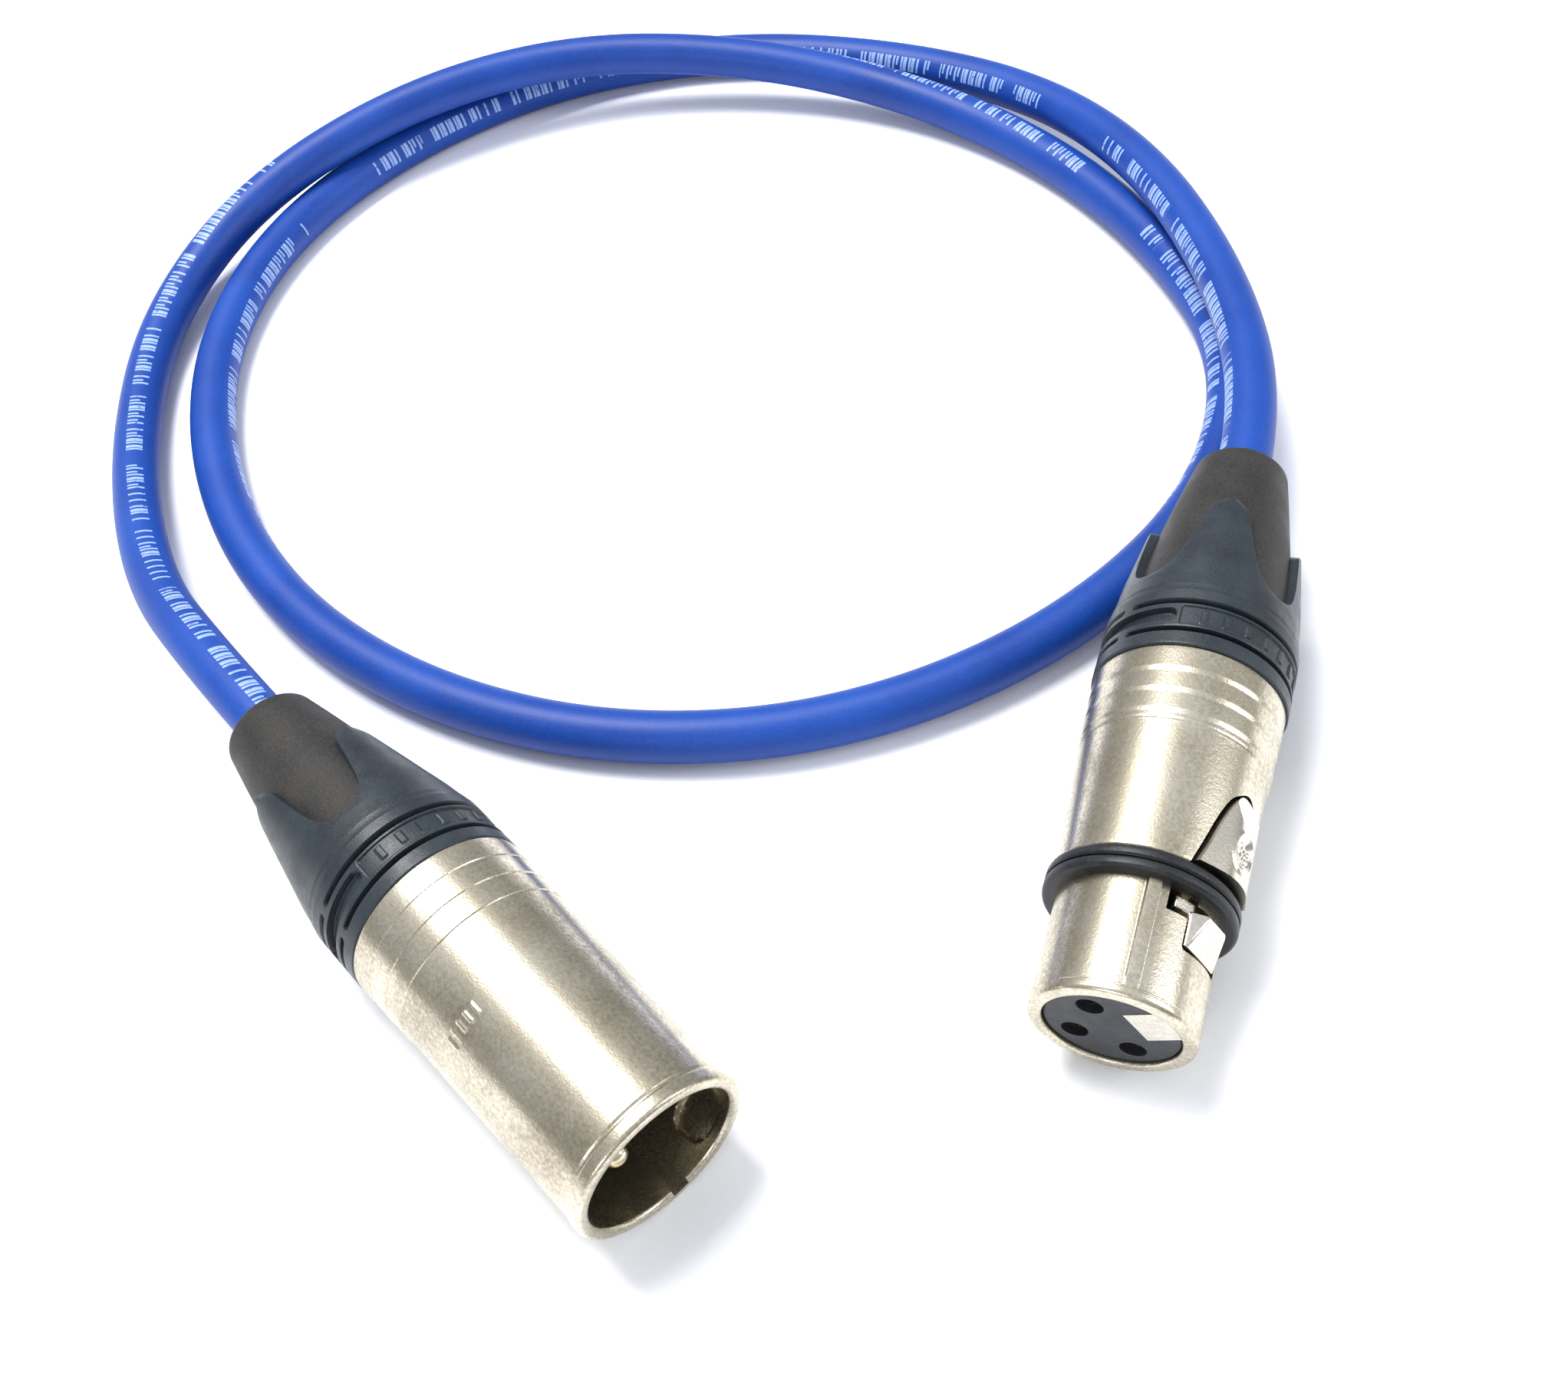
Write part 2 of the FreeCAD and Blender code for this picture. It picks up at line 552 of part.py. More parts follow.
# ---------------------------------------------------------------- the cable
# Route of the cable's centre line from the male to the female connector, without its two ends.
CABLE_ROUTE = (
    (-63.4, 33.0, 11.0),
    (-75.5, 53.5, 6.0),
    (-82.0, 82.0, 3.0),
    (-81.0, 109.5, 3.2),
    (-67.5, 130.0, 7.5),
    (-44.0, 145.5, 9.8),
    (-18.0, 152.0, 9.5),
    (8.5, 147.5, 7.5),
    (32.5, 135.5, 4.5),
    (50.5, 116.5, 3.0),
    (61.5, 91.5, 3.0),
    (65.0, 64.5, 3.0),
    (54.5, 41.0, 3.0),
    (33.0, 24.0, 3.0),
    (6.5, 16.0, 3.0),
    (-20.0, 19.0, 3.0),
    (-43.5, 31.5, 3.0),
    (-61.5, 51.5, 3.0),
    (-71.0, 77.0, 3.0),
    (-72.0, 104.0, 3.0),
    (-62.5, 128.5, 3.0),
    (-42.5, 147.0, 3.0),
    (-17.5, 157.0, 3.0),
    (9.5, 156.0, 3.0),
    (34.0, 145.5, 3.2),
    (52.5, 126.5, 5.6),
    (62.0, 101.0, 8.8),
    (64.5, 72.0, 10.2),
    (61.2, 47.8, 11.4),
)


def cable_tube():
    """The cable between the two sleeves: straight runs joined by tangent arcs."""
    start = male_place.multVec(V(0, 0, MALE_BOUNDARY + SLEEVE_END))
    end = female_place.multVec(V(0, 0, FEMALE_BOUNDARY + SLEEVE_END))
    points = [start] + [V(*point) for point in CABLE_ROUTE] + [end]
    radii = [0.0]
    for before, point, after in zip(points, points[1:], points[2:]):
        run_in = point - before
        run_out = after - point
        shorter = min(run_in.Length, run_out.Length)
        radii.append(0.45 * shorter / math.tan(run_in.getAngle(run_out) / 2))
    radii.append(0.0)
    path = rounded_path(points, radii)
    section = Part.Wire(Part.makeCircle(CABLE_RADIUS, start, points[1] - points[0]))
    tube = path.makePipeShell([section], True, False)
    print("cable bend radii:", " ".join(f"{radius:.0f}" for radius in radii[1:-1]))
    expected = math.pi * CABLE_RADIUS ** 2 * path.Length
    print(f"cable length {path.Length:.1f}, volume {tube.Volume:.0f}, section x length {expected:.0f}")
    print(f"cable lowest point {tube.BoundBox.ZMin:.3f}")
    return tube


# ---------------------------------------------------------------- all nodes
def export(name, shape, placement=None):
    """Write one sub-part as one valid solid."""
    solids = shape.Solids
    if len(solids) != 1 or not shape.isValid():
        raise ValueError(f"{name} has {len(solids)} solids, valid {shape.isValid()}")
    solid = solids[0].copy()
    if placement is not None:
        solid.Placement = placement.multiply(solid.Placement)
    solid.exportStep(f"parts/{name}.step")
    return solid


def build():
    os.makedirs("parts", exist_ok=True)
    male = {
        "male_shell": male_shell(),
        "male_insert": male_insert(),
        "male_ground_contact": spring_contact((7.6, 8.0), MALE_SEAT_RADIUS, 19.6, 0),
        "male_chuck": chuck(MALE_BOUNDARY),
        "male_collar": collar(
            MALE_BOUNDARY, MALE_PLATE_TURN - MALE_LATCH_TURN, MALE_PETAL_TURN - MALE_LATCH_TURN),
        "male_sleeve": rubber_sleeve(MALE_BOUNDARY),
        "male_jacket_end": jacket_end(MALE_BOUNDARY),
    }
    female = {
        "female_shell": female_shell(),
        "female_insert": female_insert(),
        "female_key_block": key_block(),
        "female_latch_lever": latch_lever(),
        "female_latch_pin": pivot_pin(),
        "female_latch_spring": latch_spring(),
        "female_ring": rubber_ring(),
        "female_ground_contact": spring_contact((7.4, 7.8), FEMALE_SEAT_RADIUS, 20.4, 180),
        "female_chuck": chuck(FEMALE_BOUNDARY),
        "female_collar": collar(
            FEMALE_BOUNDARY, FEMALE_PLATE_TURN - FEMALE_LATCH_TURN, FEMALE_PETAL_TURN - FEMALE_LATCH_TURN),
        "female_sleeve": rubber_sleeve(FEMALE_BOUNDARY),
        "female_jacket_end": jacket_end(FEMALE_BOUNDARY),
    }
    for number, angle in enumerate(CONTACT_ANGLES, start=1):
        male[f"male_pin_{number}"] = at_contact(male_pin(), angle)
        male[f"male_wire_{number}"] = wire(MALE_BOUNDARY, INSERT_REAR + 1.3, angle)
        female[f"female_contact_{number}"] = at_contact(female_contact(), angle)
        female[f"female_wire_{number}"] = wire(FEMALE_BOUNDARY, INSERT_REAR + 1.3, angle)
    box_around = FreeCAD.BoundBox()
    for name, shape in male.items():
        box_around.add(export(name, shape, male_place).BoundBox)
    for name, shape in female.items():
        box_around.add(export(name, shape, female_place).BoundBox)
    export("cable", cable_tube())
    print(f"connectors: x {box_around.XMin:.2f}..{box_around.XMax:.2f}",
          f"y {box_around.YMin:.2f}..{box_around.YMax:.2f} z {box_around.ZMin:.3f}..{box_around.ZMax:.2f}")


build()
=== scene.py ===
"""Looks of a microphone cable with a male and a female XLR connector.

The connectors are built in their own millimetre frame, as in the CAD source: z is the depth
behind the mouth and x points to the latch's side. A matrix then lays each one down.
"""
import math
import bmesh
import bpy
import numpy as np
from mathutils import Matrix, Vector


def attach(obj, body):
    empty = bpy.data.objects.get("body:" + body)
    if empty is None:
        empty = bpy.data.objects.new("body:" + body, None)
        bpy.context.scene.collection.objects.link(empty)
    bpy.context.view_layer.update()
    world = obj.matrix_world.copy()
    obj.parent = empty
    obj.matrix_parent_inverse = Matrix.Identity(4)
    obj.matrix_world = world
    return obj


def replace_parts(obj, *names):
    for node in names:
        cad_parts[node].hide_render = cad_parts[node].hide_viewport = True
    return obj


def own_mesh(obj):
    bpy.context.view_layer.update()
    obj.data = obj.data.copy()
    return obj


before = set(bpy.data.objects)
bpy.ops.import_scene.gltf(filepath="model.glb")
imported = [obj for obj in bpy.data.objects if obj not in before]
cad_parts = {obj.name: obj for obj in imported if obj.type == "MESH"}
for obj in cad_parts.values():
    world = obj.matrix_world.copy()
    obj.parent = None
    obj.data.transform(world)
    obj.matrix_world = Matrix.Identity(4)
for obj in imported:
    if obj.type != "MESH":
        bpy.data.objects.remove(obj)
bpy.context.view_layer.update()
MM = 0.001
TAU = 2 * math.pi

# ---------------------------------------------------------------- sizes, as in the CAD source
# Millimetres and degrees. A boundary is the depth where a metal shell ends and its collar starts.
CABLE_RADIUS = 3.0
MALE_BOUNDARY = 34.5
FEMALE_BOUNDARY = 37.8
FACE_GAP = 0.02
FACE_CHAMFER = 0.25

# How each connector lies: where its mouth is, which way it points, and how its parts are turned from up.
MALE_MOUTH = (-17.24, -32.95)
MALE_YAW = -55.0
MALE_LATCH_TURN = 126.0
MALE_PLATE_TURN = 32.0
MALE_PETAL_TURN = 37.0
FEMALE_MOUTH = (24.46, -27.45)
FEMALE_YAW = -116.0
FEMALE_LATCH_TURN = 57.0
FEMALE_PLATE_TURN = 41.0
FEMALE_PETAL_TURN = 0.0

# Contacts.
CONTACT_CIRCLE_RADIUS = 3.96
CONTACT_ANGLES = (-90.0, 90.0, 180.0)
ON_AXIS = 0.0001
PIN_RADIUS = 1.2
PIN_TIP_DEPTH = 3.7
PIN_NOSE_ROUNDING = 1.05
PIN_ROOT_RADIUS = 1.6
PIN_FLANGE_RADIUS = 1.9
PIN_FLANGE_DEPTHS = (17.5, 18.7)
CUP_RADIUS = 0.95
CUP_OUTER_RADIUS = 1.45
CUP_FLOOR = 1.0
CUP_LENGTH = 4.5
INSERT_REAR = 24.0

# Male shell.
MALE_BORE_RADIUS = 8.05
MALE_LIP_RADIUS = 9.45
MALE_LIP_FRONT = 0.5
MALE_INSERT_DEPTH = 14.5
MALE_SEAT_RADIUS = 8.5
COLLAR_NECK_RADIUS = 8.75

# Female shell and its ring.
BARREL_RADIUS = 7.9
BARREL_BORE_RADIUS = 6.45
RING_FRONT = 12.1
RING_REAR = 14.6
RING_RADIUS = 9.35
RING_ROUNDING = 0.45
FEMALE_SEAT_DEPTH = 15.8
FEMALE_SEAT_RADIUS = 8.2

# Latch.
PIVOT_X = 4.9
PIVOT_DEPTH = 2.4
EYE_RADIUS = 1.25
EYE_SIDES = 40
STRAP_X = (4.3, 5.5)
STRAP_DEPTH = (5.0, 15.4)
STRAP_HALF_WIDTH = 1.9
NECK_X = (4.35, 5.45)
NECK_DEPTH = (2.9, 5.4)
NECK_HALF_WIDTH = 1.25
HOOK_HALF_WIDTH = 2.6
WINDOW_DEPTH = (6.6, 11.5)
WINDOW_HALF_WIDTH = 2.9
EAR_DEPTH = (10.4, 11.6)
# Half width of the push pad's opening at each depth behind the mouth.
PAD_SIDE = ((RING_REAR, 4.75), (17.4, 4.1), (20.5, 3.35), (22.8, 2.5), (24.0, 1.5))
PAD_END = 24.8
PAD_CREST = 10.1
PAD_FLOOR = 4.8
PAD_CLEARANCE = 0.35
SPRING_HALF_WIDTH = 1.25
SPRING_FOOT = 1.22
SPRING_TOP = 4.78
SPRING_DEPTHS = (17.9, 21.6)
SPRING_THICKNESS = 0.25

# Collar and rubber sleeve, offsets behind the boundary.
COLLAR_RADIUS = 10.1
SLOT_DEPTH = 0.8
THIN_SLOT_MIDDLES = (2.0, 5.6)
THIN_SLOT_HALF = 0.25
THIN_SLOT_REACH = 85.0
WIDE_SLOT_MIDDLE = 3.8
WIDE_SLOT_HALF = 0.8
WIDE_SLOT_REACH = 29.0
PLATE_REACH = 54.0
PLATE_MIDDLE = 3.8
PLATE_HALF = 1.16
PLATE_DEPTH = 0.22
PLATE_CORNER = 0.3
PLATE_RIBS = 7
PLATE_RIB_HALF = 0.34
PLATE_RIB_MARGIN = 0.42
CONE_START = 7.3
CONE_RADIUS = 10.0
CONE_LAP = 0.9
CONE_LAP_RADIUS = 9.94
CONE_LAP_BORE = 8.95
NOTCH_BOTTOM = 10.5
PETAL_TIP = 22.0
PETAL_TIP_RADIUS = 8.1
PETAL_THICKNESS = 1.0
PETAL_BELLY = 0.22
# Half width of the gap between two petals at each depth behind the shell.
PETAL_GAP = ((10.5, 0.0), (11.0, 1.55), (12.4, 2.7), (15.0, 3.5), (18.3, 4.1), (20.6, 4.55), (22.0, 5.85))
SLEEVE_START = 8.9
SLEEVE_END = 33.0


def lay_down(mouth, yaw, latch_turn, front, rear):
    """Matrix of a connector that rests on two of its circles, each given as (radius, depth)."""
    tilt = math.atan((rear[0] - front[0]) / (rear[1] - front[1]))
    height = front[0] * math.cos(tilt) - front[1] * math.sin(tilt)
    yaw = math.radians(yaw)
    facing = Vector((math.cos(yaw) * math.cos(tilt), math.sin(yaw) * math.cos(tilt), -math.sin(tilt)))
    right = Vector((0, 0, 1)).cross(facing).normalized()
    up = facing.cross(right)
    turn = math.radians(latch_turn)
    local_x = up * math.cos(turn) + right * math.sin(turn)
    local_z = -facing
    local_y = local_z.cross(local_x)
    matrix = Matrix((local_x, local_y, local_z)).transposed().to_4x4()
    matrix.translation = Vector((mouth[0], mouth[1], height)) * MM
    return matrix


MALE = lay_down(MALE_MOUTH, MALE_YAW, MALE_LATCH_TURN,
                (MALE_LIP_RADIUS, MALE_LIP_FRONT), (COLLAR_RADIUS, MALE_BOUNDARY + FACE_CHAMFER))
FEMALE = lay_down(FEMALE_MOUTH, FEMALE_YAW, FEMALE_LATCH_TURN,
                  (RING_RADIUS, RING_FRONT + RING_ROUNDING), (COLLAR_RADIUS, FEMALE_BOUNDARY + FACE_CHAMFER))


# ---------------------------------------------------------------- camera
CAMERA_PLACE = (0.000057, -0.092052, 0.14773)
CAMERA_DOWN = 51.6
CAMERA_ROLL = -9.155
CAMERA_LENS = 37.52


def make_camera():
    """Viewpoint from the front and well above, turned a little about its own axis."""
    down = math.radians(CAMERA_DOWN)
    roll = math.radians(CAMERA_ROLL)
    forward = Vector((0, math.cos(down), -math.sin(down)))
    right = Vector((1, 0, 0))
    up = right.cross(forward)
    camera_x = right * math.cos(roll) + up * math.sin(roll)
    camera_y = up * math.cos(roll) - right * math.sin(roll)
    matrix = Matrix((camera_x, camera_y, -forward)).transposed().to_4x4()
    matrix.translation = Vector(CAMERA_PLACE)
    camera = bpy.data.objects.new("camera", bpy.data.cameras.new("camera"))
    bpy.context.scene.collection.objects.link(camera)
    camera.matrix_world = matrix
    camera.data.sensor_width = 36
    camera.data.lens = CAMERA_LENS
    camera.data.clip_start = 0.01
    camera.data.clip_end = 20
    bpy.context.scene.camera = camera


# ---------------------------------------------------------------- material helpers
class Surface:
    """One procedural material: a principled shader and short calls for the nodes that feed it."""

    def __init__(self, name, **values):
        self.material = bpy.data.materials.new(name)
        self.material.use_nodes = True
        self.tree = self.material.node_tree
        self.shader = self.tree.nodes["Principled BSDF"]
        for socket, value in values.items():
            self.shader.inputs[socket.replace("_", " ")].default_value = value
        self.place = self.node("ShaderNodeTexCoord").outputs["Object"]

    def node(self, kind, **settings):
        made = self.tree.nodes.new(kind)
        for key, value in settings.items():
            setattr(made, key, value)
        return made

    def link(self, output, target):
        self.tree.links.new(output, target)

    def math(self, operation, first, second=0.0):
        made = self.node("ShaderNodeMath", operation=operation)
        for socket, value in zip(made.inputs, (first, second)):
            if isinstance(value, (int, float)):
                socket.default_value = value
            else:
                self.link(value, socket)
        return made.outputs[0]

    def weighted(self, first, share, second, other_share):
        """Sum of two values, each times its share."""
        other = self.math("MULTIPLY", second, other_share)
        return self.math("ADD", self.math("MULTIPLY", first, share), other)

    def both(self, first, second):
        """1 where two values are both 1, and 0 where either is 0."""
        return self.math("MULTIPLY", first, second)

    def stretched(self, scale):
        """Object coordinates, scaled differently along each axis."""
        made = self.node("ShaderNodeMapping")
        made.inputs["Scale"].default_value = scale
        self.link(self.place, made.inputs["Vector"])
        return made.outputs[0]

    def noise(self, scale, detail, roughness, vector=None):
        made = self.node("ShaderNodeTexNoise")
        made.inputs["Scale"].default_value = scale
        made.inputs["Detail"].default_value = detail
        made.inputs["Roughness"].default_value = roughness
        self.link(vector or self.place, made.inputs["Vector"])
        return made.outputs["Fac"]

    def ramp(self, value, low, high, to_low=0.0, to_high=1.0):
        """A value stretched from low..high to to_low..to_high and held there."""
        made = self.node("ShaderNodeMapRange")
        for socket, number in zip(made.inputs[1:5], (low, high, to_low, to_high)):
            socket.default_value = number
        self.link(value, made.inputs["Value"])
        return made.outputs[0]

    def mix(self, factor, first, second):
        made = self.node("ShaderNodeMix", data_type="RGBA")
        self.link(factor, made.inputs["Factor"])
        for socket, value in ((made.inputs[6], first), (made.inputs[7], second)):
            if isinstance(value, tuple):
                socket.default_value = (*value, 1)
            else:
                self.link(value, socket)
        return made.outputs[2]

    def bump(self, height, distance, strength=1.0, under=None):
        made = self.node("ShaderNodeBump")
        made.inputs["Distance"].default_value = distance
        made.inputs["Strength"].default_value = strength
        self.link(height, made.inputs["Height"])
        if under is not None:
            self.link(under, made.inputs["Normal"])
        return made.outputs[0]

    def finish(self, colour=None, roughness=None, normal=None):
        for output, socket in ((colour, "Base Color"), (roughness, "Roughness"), (normal, "Normal")):
            if output is not None:
                self.link(output, self.shader.inputs[socket])
        return self.material


def linear(red, green, blue):
    """The linear colour of 0 to 255 screen values."""
    def channel(value):
        share = value / 255
        return ((share + 0.055) / 1.055) ** 2.4 if value > 10 else share / 12.92

    return channel(red), channel(green), channel(blue)


def nickel(name, light, dark, rough, pit):
    """Satin nickel on a cast shell: warm, finely pitted, cloudier in patches."""
    s = Surface(name, Metallic=1.0)
    patches = s.noise(110, 3.0, 0.55)
    grain = s.noise(2600, 2.0, 0.6)
    pits = s.noise(5200, 1.0, 0.5)
    tone = s.weighted(patches, 0.55, grain, 0.45)
    colour = s.mix(s.ramp(tone, 0.36, 0.64), linear(*dark), linear(*light))
    roughness = s.ramp(tone, 0.35, 0.65, rough[1], rough[0])
    relief = s.bump(grain, pit)
    return s.finish(colour, roughness, s.bump(pits, pit * 0.6, under=relief))


def bright_metal(name, light, dark, rough, stretch=(1, 1, 1)):
    """Machined or stamped metal with fine drawn lines and small smudges."""
    s = Surface(name, Metallic=1.0)
    lines = s.noise(4200, 2.0, 0.6, s.stretched(stretch))
    smudge = s.noise(380, 3.0, 0.6)
    colour = s.mix(s.ramp(smudge, 0.35, 0.68), linear(*light), linear(*dark))
    smudged = s.ramp(smudge, 0.3, 0.7, rough * 0.7, rough * 1.5)
    roughness = s.math("ADD", smudged, s.ramp(lines, 0.3, 0.7, -0.03, 0.03))
    return s.finish(colour, roughness, s.bump(lines, 0.00001, 0.7))


def moulded_plastic(name, light, dark, rough):
    """Moulded plastic with a fine spark-eroded skin, faint clouds and rubbed spots."""
    s = Surface(name, Specular_IOR_Level=0.35)
    clouds = s.noise(160, 3.0, 0.5)
    skin = s.noise(4200, 2.0, 0.6)
    rubbed = s.noise(700, 4.0, 0.65)
    tone = s.weighted(clouds, 0.6, skin, 0.4)
    colour = s.mix(s.ramp(tone, 0.38, 0.62), linear(*dark), linear(*light))
    worn = s.ramp(rubbed, 0.35, 0.7, rough + 0.07, rough - 0.06)
    roughness = s.math("ADD", worn, s.ramp(skin, 0.3, 0.7, -0.04, 0.04))
    return s.finish(colour, roughness, s.bump(skin, 0.00002))


def soft_rubber(name, light, dark, rough):
    """Matt rubber: speckled with filler, dusty in places."""
    s = Surface(name, Specular_IOR_Level=0.34)
    speckle = s.noise(3800, 3.0, 0.7)
    dust = s.noise(220, 5.0, 0.6)
    tone = s.weighted(speckle, 0.65, dust, 0.35)
    colour = s.mix(s.ramp(tone, 0.4, 0.62), linear(*dark), linear(*light))
    roughness = s.ramp(dust, 0.35, 0.65, rough - 0.06, rough + 0.1)
    return s.finish(colour, roughness, s.bump(speckle, 0.000035))


# The printed marks on the jacket: their height, and the pitch of marks, of groups and of whole lines.
PRINT_HEIGHT = 2.1
PRINT_PITCH = 1.45
GROUP_PITCH = 15.0
LINE_PITCH = GROUP_PITCH * 9.3


def cable_jacket():
    """Blue matt jacket with a row of pale printed strokes along it."""
    s = Surface("jacket", Specular_IOR_Level=0.3)
    where = s.node("ShaderNodeUVMap", uv_map="along_and_around").outputs[0]
    split = s.node("ShaderNodeSeparateXYZ")
    s.link(where, split.inputs[0])
    along, around_jacket = split.outputs[0], split.outputs[1]
    inside = s.math("FRACT", s.math("DIVIDE", along, PRINT_PITCH))
    lot = s.node("ShaderNodeTexWhiteNoise", noise_dimensions="1D")
    s.link(s.math("FLOOR", s.math("DIVIDE", along, PRINT_PITCH)), lot.inputs["W"])
    draw = lot.outputs["Value"]
    second_draw = s.math("FRACT", s.math("MULTIPLY", draw, 17.0))

    def stroke(centre, half_width, top):
        """An upright stroke at a share of the pitch, from the foot of the print to its top."""
        from_centre = s.math("ABSOLUTE", s.math("SUBTRACT", inside, centre))
        low = s.math("GREATER_THAN", around_jacket, -PRINT_HEIGHT / 2)
        high = s.math("LESS_THAN", around_jacket, top)
        return s.both(s.math("LESS_THAN", from_centre, half_width), s.both(low, high))

    tall = stroke(0.2, 0.12, PRINT_HEIGHT / 2)
    wide = s.both(stroke(0.62, 0.2, PRINT_HEIGHT / 2), s.math("GREATER_THAN", draw, 0.55))
    short = s.both(stroke(0.62, 0.11, PRINT_HEIGHT * 0.15), s.math("GREATER_THAN", second_draw, 0.4))
    marks = s.math("MAXIMUM", tall, s.math("MAXIMUM", wide, short))
    in_group = s.math("LESS_THAN", s.math("FRACT", s.math("DIVIDE", along, GROUP_PITCH)), 0.86)
    in_line = s.math("LESS_THAN", s.math("FRACT", s.math("DIVIDE", along, LINE_PITCH)), 0.88)
    worn = s.math("MULTIPLY", s.ramp(s.noise(1500, 3.0, 0.7), 0.3, 0.42), 0.8)
    ink = s.math("MULTIPLY", s.both(marks, s.both(in_group, in_line)), worn)

    clouds = s.noise(60, 4.0, 0.55)
    fine = s.noise(3000, 3.0, 0.6)
    tone = s.weighted(clouds, 0.6, fine, 0.4)
    blue = s.mix(s.ramp(tone, 0.36, 0.64), linear(10, 52, 132), linear(18, 68, 156))
    colour = s.mix(ink, blue, linear(150, 176, 222))
    roughness = s.math("ADD", s.ramp(clouds, 0.3, 0.7, 0.42, 0.52), s.math("MULTIPLY", ink, -0.06))
    relief = s.weighted(fine, 0.6, clouds, 2.0)
    return s.finish(colour, roughness, s.bump(relief, 0.00003))


MATERIALS = {
    "nickel": nickel("nickel", (222, 214, 196), (158, 149, 127), (0.2, 0.34), 0.000012),
    "nickel_bright": nickel("nickel_bright", (232, 227, 216), (190, 184, 168), (0.14, 0.26), 0.000008),
    "contact_metal": bright_metal("contact_metal", (236, 228, 205), (196, 184, 152), 0.22, (1, 1, 0.2)),
    "spring_steel": bright_metal("spring_steel", (214, 214, 212), (150, 150, 148), 0.28),
    "insert_plastic": moulded_plastic("insert_plastic", (42, 45, 52), (26, 29, 35), 0.46),
    "chuck_plastic": moulded_plastic("chuck_plastic", (58, 58, 60), (38, 38, 40), 0.5),
    "collar_plastic": moulded_plastic("collar_plastic", (42, 50, 57), (28, 34, 40), 0.38),
    "sleeve_rubber": soft_rubber("sleeve_rubber", (50, 48, 46), (26, 25, 25), 0.55),
    "ring_rubber": soft_rubber("ring_rubber", (36, 39, 44), (18, 20, 23), 0.4),
    "jacket": cable_jacket(),
    "wire_red": moulded_plastic("wire_red", (190, 42, 36), (140, 28, 26), 0.45),
    "wire_white": moulded_plastic("wire_white", (232, 230, 224), (200, 198, 190), 0.45),
    "wire_shield": bright_metal("wire_shield", (214, 150, 110), (150, 96, 66), 0.35, (1, 1, 3)),
}


# ---------------------------------------------------------------- mesh helpers
def smooth(t):
    """0 to 1 with soft ends."""
    t = np.clip(t, 0, 1)
    return t * t * (3 - 2 * t)


def make_mesh(name, points, faces, weld):
    """Mesh from points in local millimetres, with its faces turned outwards."""
    mesh = bpy.data.meshes.new(name)
    mesh.from_pydata((np.asarray(points) * MM).tolist(), [], faces)
    made = bmesh.new()
    made.from_mesh(mesh)
    if weld:
        bmesh.ops.remove_doubles(made, verts=made.verts, dist=1e-7)
    bmesh.ops.recalc_face_normals(made, faces=made.faces)
    made.to_mesh(mesh)
    made.free()
    return mesh


def make_piece(name, points, faces, place, slot, body="root", sharp=32.0, weld=True):
    """A piece from points in local millimetres. It rides on a body and takes a slot's finish."""
    mesh = make_mesh(name, points, faces, weld)
    piece = bpy.data.objects.new(name, mesh)
    bpy.context.scene.collection.objects.link(piece)
    piece.matrix_world = place
    shade(piece, sharp)
    mesh.materials.append(MATERIALS[slot])
    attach(piece, body)
    return piece


def shade(piece, angle):
    """Smooth shading, broken where faces meet at more than the angle in degrees."""
    piece.data.shade_smooth()
    piece.data.set_sharp_from_angle(angle=math.radians(angle))


def arc_between(before, corner, after, radius, steps):
    """Points on the arc that rounds a corner of a flat line."""
    into = (corner - before) / np.linalg.norm(corner - before)
    out = (after - corner) / np.linalg.norm(after - corner)
    turn = math.atan2(into[0] * out[1] - into[1] * out[0], float(into @ out))
    reach = radius * math.tan(abs(turn) / 2)
    start = corner - into * reach
    side = np.array([-into[1], into[0]]) * math.copysign(1, turn)
    centre = start + side * radius
    arc = []
    for step in range(steps + 1):
        angle = turn * step / steps
        spoke = start - centre
        arc.append(centre + np.array([
            spoke[0] * math.cos(angle) - spoke[1] * math.sin(angle),
            spoke[0] * math.sin(angle) + spoke[1] * math.cos(angle)]))
    return arc


def outline(points, longest, corner_steps=6):
    """(a, b[, corner radius]) points as a closed even line of points with rounded corners.

    longest is the longest step, or a function that gives it for the middle of a run.
    """
    flat = [np.array(point[:2], float) for point in points]
    count = len(flat)
    line = []
    for i, point in enumerate(points):
        if len(point) == 3:
            line += arc_between(flat[i - 1], flat[i], flat[(i + 1) % count], point[2], corner_steps)
        else:
            line.append(flat[i])
    even = []
    for start, end in zip(line, line[1:] + line[:1]):
        limit = longest((start + end) / 2) if callable(longest) else longest
        pieces = max(1, math.ceil(np.linalg.norm(end - start) / limit))
        even += [start + (end - start) * k / pieces for k in range(pieces)]
    return np.array(even)


def smooth_through(stops, steps):
    """Points on the smooth line from the second stop to the last but one."""
    line = []
    for a, b, c, d in zip(stops, stops[1:], stops[2:], stops[3:]):
        for t in np.arange(steps) / steps:
            line.append(0.5 * (2 * b + (c - a) * t + (2 * a - 5 * b + 4 * c - d) * t ** 2
                               + (3 * b - a - 3 * c + d) * t ** 3))
    line.append(stops[-2])
    return np.array(line)


def sector(radii, angles):
    """Outline of a ring's sector between two radii, at the given angles in degrees."""
    inner, outer = radii
    corners = [(outer, angle) for angle in angles] + [(inner, angle) for angle in reversed(angles)]
    return [(r * math.cos(math.radians(angle)), r * math.sin(math.radians(angle))) for r, angle in corners]


def rounded_box(across, along, half_width, half_length, corner):
    """Distance outside a rounded rectangle, from the offsets across and along its middle."""
    a = np.abs(across) - half_width + corner
    b = np.abs(along) - half_length + corner
    return np.hypot(np.maximum(a, 0), np.maximum(b, 0)) + np.minimum(np.maximum(a, b), 0) - corner


